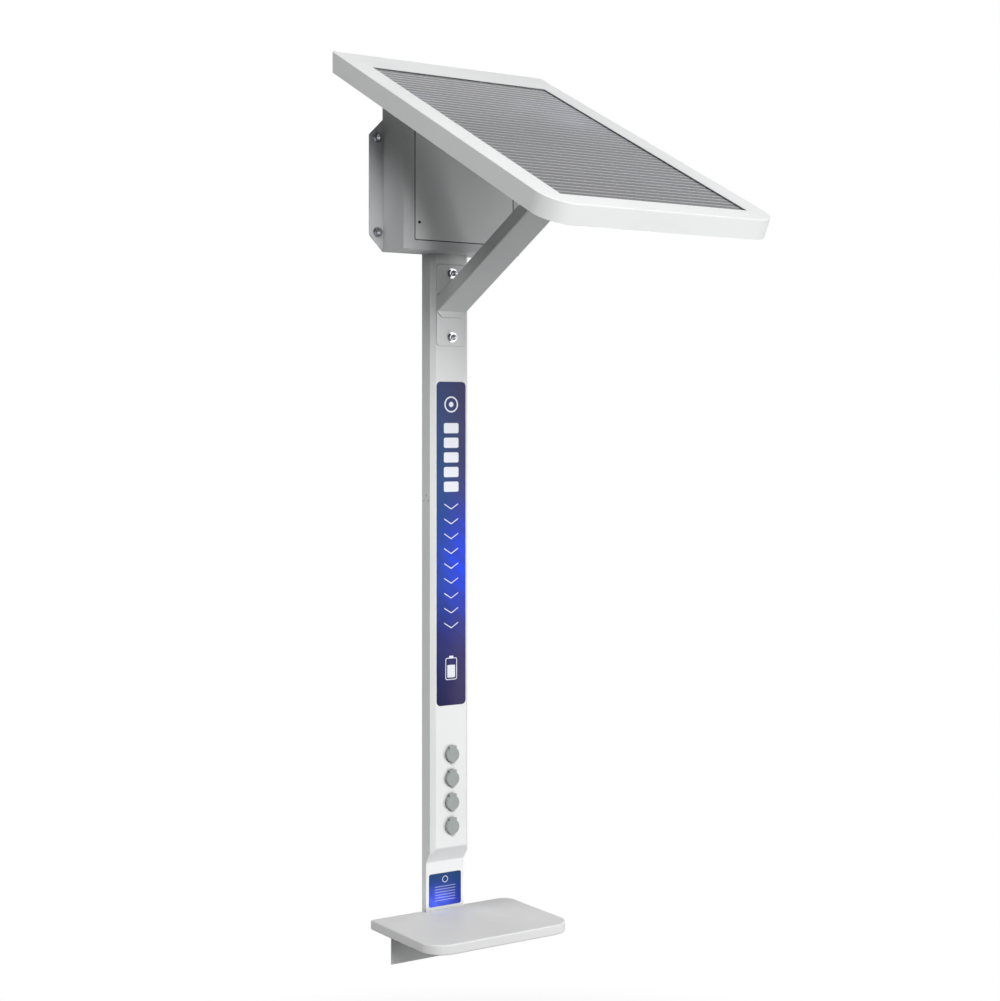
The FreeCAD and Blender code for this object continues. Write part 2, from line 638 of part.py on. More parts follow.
def port_tongues(name):
    """The two plastic tongues of a socket, each on a block that closes the rear of its slot."""
    root = f"(-{port_face} + port_length)"
    tongues = []
    for end, middle in zip(("low", "high"), port_middles()):
        closing = block(f"{name}_{end}_root", span("port_width"), (root, f"{root} + tongue_root"),
                        span("port_height", middle))
        blade = block(f"{name}_{end}_blade", span("tongue_width"),
                      (f"{root} - tongue_length", f"{root} + tongue_root / 2"),
                      span("tongue_thickness", middle))
        tongues.append(fuse(f"{name}_{end}", [closing, blade]))
    return group(name, tongues)


def make_sockets():
    for i in range(socket_count):
        make_socket(i)
    for i in range(socket_count):
        make_cap(i)
    places = [socket_place(i) for i in range(socket_count)]
    length = "(knuckle_width + 2 * knuckle_gap + 2 * lug_thickness)"
    pins = [(f"-{length} / 2", "-column_depth - hinge_offset", f"{z} + hinge_rise") for x, y, z in places]
    piece(repeat("usb_hinge_pins", pins, rightward, stud("hinge_pin_radius", length)))
    seats = [(x, f"-{column_inside}", z) for x, y, z in places]
    ring_nut = ring("ring_nut_radius", "barrel_radius", "ring_nut_thickness")
    piece(repeat("usb_ring_nuts", seats, rearward, ring_nut))
    piece(repeat("usb_port_shells", places, upward, port_shells))
    piece(repeat("usb_port_tongues", places, upward, port_tongues))


# cabinet
def roof_z(distance):
    """Height of the housing's underside at a distance in front of the rear plane."""
    return f"(housing_rise - housing_thickness / cos(panel_tilt) - ({distance}) * tan(panel_tilt))"


opening_z = (f"({floor_z} + cover_low)", f"({roof_z('cabinet_depth')} - cover_top)")


def widened(ends, margin):
    """A pair of ends moved apart by a margin at each end."""
    return f"({ends[0]} - ({margin}))", f"({ends[1]} + ({margin}))"


def wall_stud_places(y):
    return [(x, y, z) for x, z in pairs("stud_spacing_across", span("stud_spacing_up"))]


def strut_stud_places(y):
    return [("0", y, z) for z in span("strut_stud_spacing", foot_plate_z)]


def make_studs():
    piece(repeat("wall_studs", wall_stud_places("stud_tail"), frontward, shouldered_stud))
    length = f"(backing_thickness + column_wall + foot_plate_thickness + {stud_grip})"
    places = strut_stud_places(f"-{column_inside} + backing_thickness")
    piece(repeat("strut_studs", places, frontward, stud("stud_neck_radius", length)))
    seats = [wall_stud_places("-ear_thickness"), strut_stud_places(f"-{foot_plate_face}")]
    washer = ring("washer_radius", "stud_neck_radius + stud_clearance", "washer_thickness")
    piece(repeat("dome_washers", seats[0] + seats[1], frontward, washer))
    seats = [wall_stud_places("-ear_thickness - washer_thickness"),
             strut_stud_places(f"-{foot_plate_face} - washer_thickness")]
    piece(repeat("dome_nuts", seats[0] + seats[1], frontward, dome_nut))


def make_inner_fasteners():
    """The ten alike screws that hold things to the back plate of the cabinet."""
    tray = [(x, "-ear_thickness - tray_thickness", f"{tray_z} - tray_flange / 2")
            for x in span("tray_screw_spacing", "battery_shift")]
    strap_span = "battery_width + 2 * battery_gap + 2 * strap_thickness + strap_ear"
    strap = [(x, "-ear_thickness - strap_thickness", f"{battery_z} + strap_rise")
             for x in span(strap_span, "battery_shift")]
    controller = [(x, "-ear_thickness - controller_flange_thickness", z)
                  for x in span("controller_screw_spacing", "controller_shift")
                  for z in span("controller_height + controller_flange", controller_middle)]
    fuse_screws = [("controller_shift", "-ear_thickness - controller_flange_thickness", z)
                   for z in span("fuse_length + controller_flange", f"{floor_z} + fuse_rise")]
    # a screw through the strap reaches as deep as the others, so all have the length that suits the strap
    length = "(strap_thickness + small_screw_grip)"
    screw = pan_screw("small_screw_radius", "small_screw_head", "small_screw_head_height", length)
    piece(repeat("inner_screws", tray + strap + controller + fuse_screws, frontward, screw))


controller_middle = f"({floor_z} + controller_rise + controller_height / 2)"


def make_cabinet():
    plate = body("ear_plate")
    half, ear, up = "cabinet_width / 2", "ear_width / 2", "ear_height / 2"
    roof = roof_z("ear_thickness")
    outline = polygon(sketch(plate, "outline", "XZ"), [
        (f"-{half}", floor_z), (half, floor_z), (ear, f"-{up}"), (ear, up), (half, f"{up} + ear_chamfer"),
        (half, roof), (f"-{half}", roof), (f"-{half}", f"{up} + ear_chamfer"), (f"-{ear}", up),
        (f"-{ear}", f"-{up}"),
    ])
    pad(plate, outline, "ear_thickness")
    round_edges(plate, "ears", "ear_corner", lambda edge, bounds: (
        runs_along(edge, along_y) and near(abs(edge.CenterOfMass.x), bounds.XMax)))
    holes = sketch(plate, "stud_holes", "XZ")
    for x, y, z in wall_stud_places("0"):
        circle(holes, x, z, "stud_neck_radius + stud_clearance")
    pocket(plate, holes, "2 * ear_thickness")
    drilled("cabinet_back_plate", plate, [doc.inner_screws])

    case = body("case")
    plan = polygon(sketch(case, "plan", "XY", floor_z), half_octagon("cabinet", "ear_thickness"))
    pad(case, plan, f"{roof_z('0')} - {floor_z}")
    beyond = "(2 * cabinet_depth)"
    slope = polygon(sketch(case, "slope", "YZ"), [
        ("0", roof_z("0")), (f"-{beyond}", roof_z(beyond)), (f"-{beyond}", f"{roof_z('0')} + cabinet_depth"),
        ("0", f"{roof_z('0')} + cabinet_depth"),
    ])
    pocket(case, slope, "2 * cabinet_width", both_ways=True)
    hollow(case, "cabinet_wall", faces_rear)
    round_edges(case, "bends", "cabinet_bend", front_bends("cabinet"))
    opening = rectangle(sketch(case, "opening", "XZ", f"{cabinet_inside} - cabinet_wall"),
                        widened(span(f"2 * {cover_half}"), "cover_gap"), widened(opening_z, "cover_gap"))
    pocket(case, opening, "3 * cabinet_wall")
    drilled("cabinet_shell", case, [
        doc.floor_bolts, floor_cable_drill("case_floor_drill"), doc.roof_bolts,
        roof_cable_drill("case_roof_drill")])


def make_cover():
    wide, tall = span(f"2 * {cover_half}"), opening_z
    lid = body("lid")
    pad(lid, rectangle(sketch(lid, "outline", "XZ", cabinet_inside), wide, tall), "cabinet_wall")
    round_edges(lid, "corners", "cover_corner", corners_along(along_y))
    gasket_back = f"({cabinet_inside} - gasket_thickness)"
    seal = body("seal")
    outline = rectangle(sketch(seal, "outline", "XZ", gasket_back), wide, tall)
    rectangle(outline, widened(wide, "-gasket_width"), widened(tall, "-gasket_width"))
    pad(seal, outline, "gasket_thickness")
    frame = body("seal_frame")
    frame_back = f"({gasket_back} - frame_thickness)"
    edge = "cover_gap + frame_overlap"
    outline = rectangle(sketch(frame, "outline", "XZ", frame_back), widened(wide, edge), widened(tall, edge))
    rectangle(outline, widened(wide, "-gasket_width - frame_lip"), widened(tall, "-gasket_width - frame_lip"))
    pad(frame, outline, "frame_thickness + gasket_thickness")
    seat = rectangle(sketch(frame, "seat", "XZ", gasket_back), widened(wide, "cover_gap"),
                     widened(tall, "cover_gap"))
    pocket(frame, seat, "2 * gasket_thickness")
    places = [(x, "-cabinet_depth", z) for x, z in pairs(
        f"(2 * ({cover_half} - cover_screw_inset))", widened(tall, "-cover_screw_rise"))]
    screws = piece(repeat("cover_screws", places, frontward, pan_screw(
        "cover_screw_radius", "cover_screw_head", "cover_screw_head_height",
        "(cabinet_wall + gasket_thickness + frame_thickness + cover_screw_spare)")))
    drilled("cabinet_cover", lid, [screws])
    drilled("cover_gasket", seal, [screws])
    drilled("cover_frame", frame, [screws])


def make_battery():
    rear = "(-ear_thickness - battery_gap)"
    front = f"({rear} - battery_depth)"
    x = span("battery_width", "battery_shift")
    top = f"({battery_z} + battery_height)"
    piece(block("battery", x, (front, rear), (battery_z, top)))
    y = span("terminal_size", f"{rear} - battery_depth / 2")
    posts = [block(f"terminal_{i}", span("terminal_size", end), y, (top, f"{top} + terminal_height"))
             for i, end in enumerate(widened(x, "-terminal_inset"))]
    piece(group("battery_terminals", posts))

    tray = body("tray")
    lip = f"({front} - battery_gap)"
    foot, floor = f"{tray_z} - tray_flange", tray_z
    profile = polygon(sketch(tray, "profile", "YZ", "battery_shift"), [
        ("-ear_thickness", battery_z), ("-ear_thickness", foot), ("-ear_thickness - tray_thickness", foot),
        ("-ear_thickness - tray_thickness", floor), (f"{lip} - tray_thickness", floor),
        (f"{lip} - tray_thickness", f"{battery_z} + tray_lip"), (lip, f"{battery_z} + tray_lip"),
        (lip, battery_z),
    ])
    pad(tray, profile, "battery_width + 2 * tray_side", both_ways=True)
    drilled("battery_tray", tray, [doc.inner_screws])

    strap = body("strap")
    left, right = widened(x, "battery_gap")
    wide_left, wide_right = f"({left} - strap_thickness)", f"({right} + strap_thickness)"
    ear_left, ear_right = f"({wide_left} - strap_ear)", f"({wide_right} + strap_ear)"
    ear_front = "-ear_thickness - strap_thickness"
    plan = polygon(sketch(strap, "plan", "XY", f"{battery_z} + strap_rise - strap_height / 2"), [
        (ear_left, "-ear_thickness"), (ear_left, ear_front), (wide_left, ear_front),
        (wide_left, f"{lip} - strap_thickness"), (wide_right, f"{lip} - strap_thickness"),
        (wide_right, ear_front), (ear_right, ear_front), (ear_right, "-ear_thickness"),
        (right, "-ear_thickness"), (right, lip), (left, lip), (left, "-ear_thickness"),
    ])
    pad(strap, plan, "strap_height")
    drilled("battery_strap", strap, [doc.inner_screws])


def make_electronics():
    """The charge controller and the fuse holder above it, both flanged to the back plate."""
    seat = ("-ear_thickness - controller_flange_thickness", "-ear_thickness")
    x = span("controller_width", "controller_shift")
    z = span("controller_height", controller_middle)
    controller_case = block("controller_case", x, ("-ear_thickness - controller_depth", "-ear_thickness"), z)
    flange = block("controller_flanges", x, seat, widened(z, "controller_flange"))
    drilled("charge_controller", fuse("controller", [controller_case, flange]), [doc.inner_screws])

    z = span("fuse_length", f"({floor_z} + fuse_rise)")
    flange = block("fuse_flanges", span("fuse_base_width", "controller_shift"), seat,
                   widened(z, "controller_flange"))
    spot = ("controller_shift", f"{seat[0]} - fuse_radius * 0.9", z[0])
    barrel = rod("fuse_barrel", "fuse_radius", "fuse_length", spot)
    drilled("fuse_holder", fuse("fuse", [flange, barrel]), [doc.inner_screws])


# strut
def strut_under(distance):
    """Height of the strut's lower face at a distance in front of the rear plane."""
    return f"({floor_z} - strut_drop + ({distance} - column_depth) * tan(strut_angle))"


def strut_meet(rise):
    """How far in front of the rear plane a line that far above the strut's lower face meets the top plate."""
    return (f"(({roof_z('0')} - top_plate_thickness / cos(panel_tilt) - {strut_under('0')} - {rise})"
            " / (tan(strut_angle) + tan(panel_tilt)))")


strut_rise = "(strut_depth / cos(strut_angle))"
strut_end = (f"(-(({strut_meet('0')} + {strut_meet(strut_rise)}) / 2"
             " + (housing_thickness + top_plate_thickness) * sin(panel_tilt)) / cos(panel_tilt))")


def make_strut():
    tube = piece(body("strut_tube"))
    corners = []
    for distance, rise in ((end_plate_face, "0"), (strut_meet("0"), "0"),
                           (strut_meet(strut_rise), strut_rise), (end_plate_face, strut_rise)):
        corners.append((f"-{distance}", f"{strut_under(distance)} + {rise}"))
    pad(tube, polygon(sketch(tube, "side", "YZ"), corners), "strut_width", both_ways=True)
    slope = math.radians(sizes["strut_angle"])
    direction = Vector(0, -math.cos(slope), math.sin(slope))
    round_edges(tube, "corners", "strut_corner", corners_along(direction))
    hollow(tube, "strut_wall", lambda face, bounds: abs(face.normalAt(0, 0).dot(direction)) > 0.1)

    foot = piece(body("strut_foot_plate"))
    outline = rectangle(sketch(foot, "outline", "XZ", "column_depth"), span("strut_width"),
                        span("foot_plate_length", foot_plate_z))
    pad(foot, outline, "foot_plate_thickness")
    round_edges(foot, "corners", "foot_plate_corner", corners_along(along_y))
    holes = sketch(foot, "holes", "XZ", "column_depth - foot_plate_thickness")
    for x, y, z in strut_stud_places("0"):
        circle(holes, x, z, "stud_neck_radius + stud_clearance")
    pocket(foot, holes, "3 * foot_plate_thickness")

    end = piece(body("strut_end_plate"))
    left, right = span("strut_width")
    under = strut_under(end_plate_face)
    top, low = f"{under} + {strut_rise}", f"{under} - end_plate_lip"
    outline = polygon(sketch(end, "outline", "XZ", foot_plate_face), [
        (left, top), (left, f"{low} + end_plate_chamfer"), (f"{left} + end_plate_chamfer", low),
        (f"{right} - end_plate_chamfer", low), (right, f"{low} + end_plate_chamfer"), (right, top),
    ])
    pad(end, outline, "end_plate_thickness")

    backing = body("backing")
    outline = rectangle(sketch(backing, "outline", "XZ", f"{column_inside} - backing_thickness"),
                        span("backing_width"), span("foot_plate_length", foot_plate_z))
    pad(backing, outline, "backing_thickness")
    drilled("strut_backing_plate", backing, [doc.strut_studs])


def make_strut_top():
    """The plate on the strut's upper end, and what it is bolted to in the housing."""
    bar_top = f"({base_top} + bar_thickness)"
    points = pairs("top_bolt_across", span("top_bolt_along", strut_end))
    plate_under = f"({housing_under} - top_plate_thickness)"
    bolts = piece(lean(repeat("strut_top_bolts", [(x, y, plate_under) for x, y in points], downward, hex_bolt(
        "roof_bolt_radius", "roof_bolt_across_flats", "roof_bolt_head",
        "(top_plate_thickness + base_thickness + bar_thickness + roof_nut_height + bolt_spare)"))))
    top_nuts = repeat("strut_top_nuts", [(x, y, bar_top) for x, y in points], upward, roof_nut)
    piece(lean(group("large_hex_nuts", [doc.roof_nuts, top_nuts])))

    plate = lean(body("top_plate"))
    outline = rectangle(sketch(plate, "outline", "XY", plate_under), span("top_plate_width"),
                        span("top_plate_length", strut_end))
    pad(plate, outline, "top_plate_thickness")
    round_edges(plate, "corners", "top_plate_corner", corners_along(along_z))
    drilled("strut_top_plate", plate, [bolts])
    bar = block("bar", span(f"2 * ({rim_inside} - base_clearance)"), span("bar_width", strut_end),
                (base_top, bar_top))
    drilled("strut_backing_bar", lean(group("leaning_bar", [bar])), [bolts])


def roof_nut(name):
    return hex_nut("roof_bolt_radius", "roof_bolt_across_flats", "roof_nut_height")(name)


# panel housing, drawn in the panel's own frame
def make_roof_fasteners():
    row = f"{housing_rear} - roof_bolt_setback"
    rows = [f"({row})", f"({row} - roof_bolt_along)"]
    points = pairs("roof_bolt_across", rows)
    piece(lean(repeat("roof_bolts", [(x, y, base_top) for x, y in points], upward, hex_bolt(
        "roof_bolt_radius", "roof_bolt_across_flats", "roof_bolt_head",
        "(base_thickness + cabinet_wall + roof_nut_height + bolt_spare)"))))
    under_roof = f"({housing_under} - cabinet_wall)"
    repeat("roof_nuts", [(x, y, under_roof) for x, y in points], downward, roof_nut)
    bush = place(cable_bush("roof_bush", "(cabinet_wall + base_thickness)"),
                 ("0", f"{housing_rear} - roof_hole_setback", under_roof))
    piece(group("cable_grommets", [doc.floor_bush, lean(group("leaning_bush", [bush]))]))


def roof_cable_drill(name):
    """What is cut from the sheets that the upper bush goes through."""
    spot = ("0", f"{housing_rear} - roof_hole_setback", f"{housing_under} - 2 * cabinet_wall")
    hole = rod(name + "_rod", "cable_hole_radius", "2 * cabinet_wall + 2 * base_thickness", spot)
    return lean(group(name, [hole]))


def is_front_corner(edge, bounds):
    return runs_along(edge, along_z) and near(edge.CenterOfMass.y, bounds.YMin)


def make_housing():
    shell = lean(piece(body("housing_shell")))
    side = polygon(sketch(shell, "side", "YZ"), [
        ("0", "0"), (housing_rear, housing_under), ("-housing_length", housing_under),
        ("-housing_length", "0"),
    ])
    pad(shell, side, "housing_width", both_ways=True)
    round_edges(shell, "corners", "housing_corner", is_front_corner)
    hollow(shell, "housing_wall", lambda face, bounds: near(face.BoundBox.ZMax, bounds.ZMin))
    round_edges(shell, "rim", "housing_edge", lambda edge, bounds: (
        near(edge.BoundBox.ZMin, bounds.ZMax) and not near(edge.CenterOfMass.y, bounds.YMax)))
    window = rectangle(sketch(shell, "window", "XY", "-2 * housing_wall"),
                       span("housing_width - 2 * bezel_side"),
                       ("-housing_length + bezel_front", "-bezel_rear"))
    pocket(shell, window, "3 * housing_wall")

    inset = "(rim_width / 2)"
    rear, front = f"({base_rear} - {inset})", f"({base_front} + {inset})"
    first, last = f"({rear} - housing_corner)", f"({front} + housing_corner)"
    rows = [f"({first} + {i} * ({last} - {first}) / {base_screw_rows - 1})" for i in range(base_screw_rows)]
    points = pairs(f"(2 * ({housing_inside} - {inset}))", rows) + pairs("base_screw_across / 2", [front])
    points += pairs("base_screw_across", [rear])
    screws = lean(repeat("base_screws", [(x, y, housing_under) for x, y in points], downward, sunk_screw))
    piece(group("sunk_screws", [doc.back_screws, screws]))

    rim = lean(body("rim"))
    outline = rectangle(sketch(rim, "outline", "XY", base_top), span(f"2 * {housing_inside}"),
                        (base_front, base_rear))
    pad(rim, outline, "rim_thickness")
    round_edges(rim, "corners", "housing_corner - housing_wall", is_front_corner)
    window = rectangle(sketch(rim, "window", "XY", f"{base_top} - rim_thickness"), span(f"2 * {rim_inside}"),
                       (f"{base_front} + rim_width", f"{base_rear} - rim_width"))
    pocket(rim, window, "3 * rim_thickness")
    half, depth = sizes["housing_width"] / 2, sizes["housing_length"]
    edge_width = sizes["housing_wall"] + sizes["rim_width"]
    round_edges(rim, "window_corners", "housing_corner - housing_wall - rim_width", lambda edge, bounds: (
        runs_along(edge, along_z) and near(abs(edge.CenterOfMass.x), half - edge_width)
        and near(edge.CenterOfMass.y, edge_width - depth)))
    drilled("housing_rim", rim, [screws])

    base = lean(body("base"))
    outline = rectangle(sketch(base, "outline", "XY", housing_under),
                        span(f"2 * ({housing_inside} - base_clearance)"),
                        (f"{base_front} + base_clearance", f"{base_rear} - base_clearance"))
    pad(base, outline, "base_thickness")
    round_edges(base, "corners", "housing_corner - housing_wall - base_clearance", is_front_corner)
    drilled("housing_base", base, [
        screws, doc.roof_bolts, doc.strut_top_bolts, roof_cable_drill("base_drill")])


# photovoltaic module, clamped up against the housing's top
def make_module():
    x, y = span(f"2 * {module_half}"), (module_front, module_rear)
    top = "(-housing_wall)"
    glass_x, glass_y = widened(x, "-module_wall - module_play"), widened(y, "-module_wall - module_play")
    level = top
    for name, thickness in (("pv_glass", "glass_thickness"), ("pv_cells", "cell_thickness")):
        below = f"({level} - {thickness})"
        piece(lean(group(name, [block(name + "_sheet", glass_x, glass_y, (below, level))])))
        level = below

    frame = lean(piece(body("pv_frame")))
    outline = rectangle(sketch(frame, "outline", "XY", module_under), x, y)
    rectangle(outline, widened(x, "-module_wall - module_ledge"), widened(y, "-module_wall - module_ledge"))
    pad(frame, outline, "module_height")
    for name, low, high in (("upper", f"-{laminate} + {top}", "housing_wall"),
                            ("lower", f"{module_under} - module_wall",
                             f"{top} - {laminate} - module_ledge_thickness")):
        room = rectangle(sketch(frame, name, "XY", low), widened(x, "-module_wall"),
                         widened(y, "-module_wall"))
        pocket(frame, room, f"{high} - ({low})")

    start = f"({module_rear} - junction_setback)"
    box = block("junction", span("junction_width"), (f"{start} - junction_length", start),
                (f"{level} - junction_height", level))
    piece(lean(group("junction_box", [box])))


def clamp(name):
    """An angle drawn about the module's lower edge, with a tab under the module and a leg beside it."""
    y = span("clamp_width")
    tab = block(name + "_tab", ("-clamp_reach", "clamp_leg_gap"), y, ("-clamp_thickness", "0"))
    leg = block(name + "_leg", ("clamp_leg_gap - clamp_thickness", "clamp_leg_gap"), y,
                ("-clamp_thickness", "module_height"))
    return fuse(name, [tab, leg])


def make_clamps():
    """Clamps at the module's long sides, each on a stud welded under the housing's top."""
    rows = [f"({module_rear} - clamp_setback)", f"({module_front} + clamp_setback)"]
    right = repeat("right_clamps", [(module_half, y, module_under) for y in rows], upward, clamp)
    left = repeat("left_clamps", [(f"-{module_half}", y, module_under) for y in rows], turned_round, clamp)
    spots = pairs(f"(2 * ({module_half} + clamp_stud_gap))", rows)
    tip = f"({clamp_under} - clamp_nut_height - clamp_stud_spare)"
    studs = repeat("clamp_studs", [(x, y, tip) for x, y in spots], upward,
                   stud("clamp_stud_radius", f"-housing_wall - {tip}"))
    piece(lean(studs))
    drilled("pv_clamps", lean(group("leaning_clamps", [left, right])), [studs])
    piece(lean(repeat("clamp_nuts", [(x, y, clamp_under) for x, y in spots], downward, hex_nut(
        "clamp_stud_radius", "clamp_nut_across_flats", "clamp_nut_height"))))


# shelf
def make_shelf():
    top = body("board")
    outline = rectangle(sketch(top, "outline", "XY", under_z), span("shelf_width"), ("-shelf_depth", "0"))
    pad(top, outline, "shelf_thickness")
    # the left rear corner stays square
    round_edges(top, "rear_corner", "shelf_rear_corner", lambda edge, bounds: (
        runs_along(edge, along_z) and near(edge.CenterOfMass.y, bounds.YMax) and edge.CenterOfMass.x > 0))
    round_edges(top, "front_corners", "shelf_front_corner", is_front_corner)
    round_edges(top, "rim", "shelf_edge", lambda edge, bounds: (
        not runs_along(edge, along_z) and near(edge.BoundBox.ZMin, edge.BoundBox.ZMax)))

    bracket = body("bracket")
    side = polygon(sketch(bracket, "side", "YZ"), [
        ("0", under_z), ("-bracket_depth", under_z), ("-bracket_depth", leg_z), ("-bracket_thickness", leg_z),
        ("-bracket_thickness", f"{under_z} - bracket_drop"), ("0", f"{under_z} - bracket_drop"),
    ])
    pad(bracket, side, "bracket_width", both_ways=True)
    round_edges(bracket, "corners", "bracket_corner", is_front_corner)
    holes = sketch(bracket, "wall_holes", "XZ", "-bracket_thickness")
    for x in span("bracket_hole_spacing"):
        circle(holes, x, f"{under_z} - bracket_hole_drop", "bracket_hole_radius")
    pocket(bracket, holes, "3 * bracket_thickness")

    rows = ["(-shelf_screw_setback)", "(-shelf_screw_setback - shelf_screw_along)"]
    places = [(x, y, leg_z) for x, y in pairs("shelf_screw_across", rows)]
    screws = piece(repeat("shelf_screws", places, downward, pan_screw(
        "small_screw_radius", "small_screw_head", "small_screw_head_height",
        "(bracket_thickness + shelf_screw_grip)")))
    drilled("shelf_top", top, [screws, doc.foot_bolts])
    drilled("shelf_bracket", bracket, [screws, doc.foot_bolts])


def check_and_write():
    """Stops at any object that failed, then writes a file for each piece."""
    doc.recompute()
    faults = [thing.Label for thing in doc.Objects if {"Invalid", "Error"} & set(thing.State)]
    for thing in pieces:
        shape = thing.Shape
        if shape.isNull() or not shape.isValid() or not shape.Solids:
            faults.append(thing.Label)
    if faults:
        raise SystemExit("faults in " + ", ".join(faults))
    os.makedirs("parts", exist_ok=True)
    for thing in pieces:
        thing.Shape.exportStep(os.path.join("parts", thing.Label + ".step"))
    print(f"{len(pieces)} pieces written")


make_column_fasteners()
make_studs()
make_inner_fasteners()
make_roof_fasteners()
make_column()
make_labels()
make_sockets()
make_cabinet()
make_cover()
make_battery()
make_electronics()
make_strut()
make_strut_top()
make_housing()
make_module()
make_clamps()
make_shelf()
check_and_write()
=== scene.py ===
import math

import bpy
import numpy as np
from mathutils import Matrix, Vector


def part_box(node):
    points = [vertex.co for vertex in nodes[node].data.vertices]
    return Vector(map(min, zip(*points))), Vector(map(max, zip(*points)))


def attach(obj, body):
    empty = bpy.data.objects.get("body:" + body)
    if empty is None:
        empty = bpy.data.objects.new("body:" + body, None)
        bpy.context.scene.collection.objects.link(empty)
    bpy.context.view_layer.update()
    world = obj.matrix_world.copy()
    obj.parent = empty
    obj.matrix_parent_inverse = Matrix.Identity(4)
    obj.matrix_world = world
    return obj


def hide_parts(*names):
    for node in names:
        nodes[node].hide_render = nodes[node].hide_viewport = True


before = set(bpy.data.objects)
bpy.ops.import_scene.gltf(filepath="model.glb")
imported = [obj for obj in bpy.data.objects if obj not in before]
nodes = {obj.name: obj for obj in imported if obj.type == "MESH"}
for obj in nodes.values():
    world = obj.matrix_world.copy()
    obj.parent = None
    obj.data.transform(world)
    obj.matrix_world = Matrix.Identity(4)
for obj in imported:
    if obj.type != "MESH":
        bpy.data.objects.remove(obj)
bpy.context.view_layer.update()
print("frame loaded:", len(nodes), "nodes")


# ---- small helpers for shader trees

def tone(red, green, blue):
    # a colour as it shows on screen, 0 to 255, turned into the linear values that a shader takes
    shown = np.array([red, green, blue]) / 255
    linear = np.where(shown <= 0.04045, shown / 12.92, ((shown + 0.055) / 1.055) ** 2.4)
    return (*linear.tolist(), 1.0)


def put(tree, kind, inputs=None, **settings):
    # adds one node; an input takes a value or another node's output
    made = tree.nodes.new("ShaderNode" + kind)
    for key, value in settings.items():
        setattr(made, key, value)
    for key, value in (inputs or {}).items():
        if isinstance(value, bpy.types.NodeSocket):
            tree.links.new(value, made.inputs[key])
        else:
            made.inputs[key].default_value = value
    return made


def sums(tree, operation, first, second=0.0, third=0.0, clamp=False):
    values = {0: first, 1: second, 2: third}
    return put(tree, "Math", values, operation=operation, use_clamp=clamp).outputs[0]


def ramp(tree, value, low, high, start=0.0, end=1.0):
    # value from low to high becomes start to end, eased at both ends
    values = {"Value": value, "From Min": low, "From Max": high, "To Min": start, "To Max": end}
    return put(tree, "MapRange", values, interpolation_type="SMOOTHSTEP").outputs["Result"]


def blendColours(tree, share, first, second):
    made = put(tree, "Mix", {0: share, 6: first, 7: second}, data_type="RGBA")
    return made.outputs[2]


def position(tree):
    return put(tree, "TexCoord").outputs["Object"]


def noise(tree, where, scale, detail=2.0, roughness=0.5):
    values = {"Vector": where, "Scale": scale, "Detail": detail, "Roughness": roughness}
    return put(tree, "TexNoise", values).outputs[0]


def openGroup(name, inputs, outputs):
    # a shader node group with named sockets: inputs are (name, kind, value), outputs (name, kind)
    group = bpy.data.node_groups.new(name, "ShaderNodeTree")
    for label, kind, value in inputs:
        socket = group.interface.new_socket(name=label, in_out="INPUT", socket_type="NodeSocket" + kind)
        socket.default_value = value
    for label, kind in outputs:
        group.interface.new_socket(name=label, in_out="OUTPUT", socket_type="NodeSocket" + kind)
    start = group.nodes.new("NodeGroupInput").outputs
    end = group.nodes.new("NodeGroupOutput").inputs
    return group, start, end


def deliver(group, end, **results):
    for name, socket in results.items():
        group.links.new(socket, end[name])
    return group


# ---- effects that several finishes share

# where each mask starts and ends, and the scale of its noise
masks = {
    "patch": (0.35, 0.72), "wearHighlightEdge": (0.998, 0.93), "wearHighlightSpots": (0.42, 0.62), "dustFacing": (0.35, 0.95),
    "dustPatch": (0.3, 0.75, 0.25), "dustSpeck": (0.5, 0.7, 0.6), "speckScale": 1400.0,
    "shadeOpen": (0.82, 0.22), "shadeBreak": (0.3, 0.7, 0.85, 1.0), "shadeScale": 120.0,
    "printEdge": (0.00025, -0.00025),
}


def makeSkin():
    # a coat or moulding: broad soft patches of a second shade, fine grain for roughness and bump
    group, start, end = openGroup("surfaceSkin", [
        ("Base", "Color", (0.8, 0.8, 0.8, 1)), ("Shade", "Color", (0.7, 0.7, 0.7, 1)),
        ("Patch Scale", "Float", 4.0), ("Patch Share", "Float", 0.4), ("Grain Scale", "Float", 900.0),
        ("Stretch", "Vector", (1, 1, 1)), ("Rough Low", "Float", 0.35), ("Rough High", "Float", 0.45),
    ], [("Color", "Color"), ("Roughness", "Float"), ("Height", "Float")])
    where = position(group)
    drawn = put(group, "VectorMath", {0: where, 1: start["Stretch"]}, operation="MULTIPLY").outputs[0]
    patches = ramp(group, noise(group, where, start["Patch Scale"], 4, 0.6), *masks["patch"])
    grain = noise(group, drawn, start["Grain Scale"], 3, 0.55)
    share = sums(group, "MULTIPLY", patches, start["Patch Share"])
    colour = blendColours(group, share, start["Base"], start["Shade"])
    blend = sums(group, "MULTIPLY_ADD", patches, 0.5, sums(group, "MULTIPLY", grain, 0.5))
    span = sums(group, "SUBTRACT", start["Rough High"], start["Rough Low"])
    rough = sums(group, "MULTIPLY_ADD", blend, span, start["Rough Low"])
    return deliver(group, end, Color=colour, Roughness=rough, Height=grain)


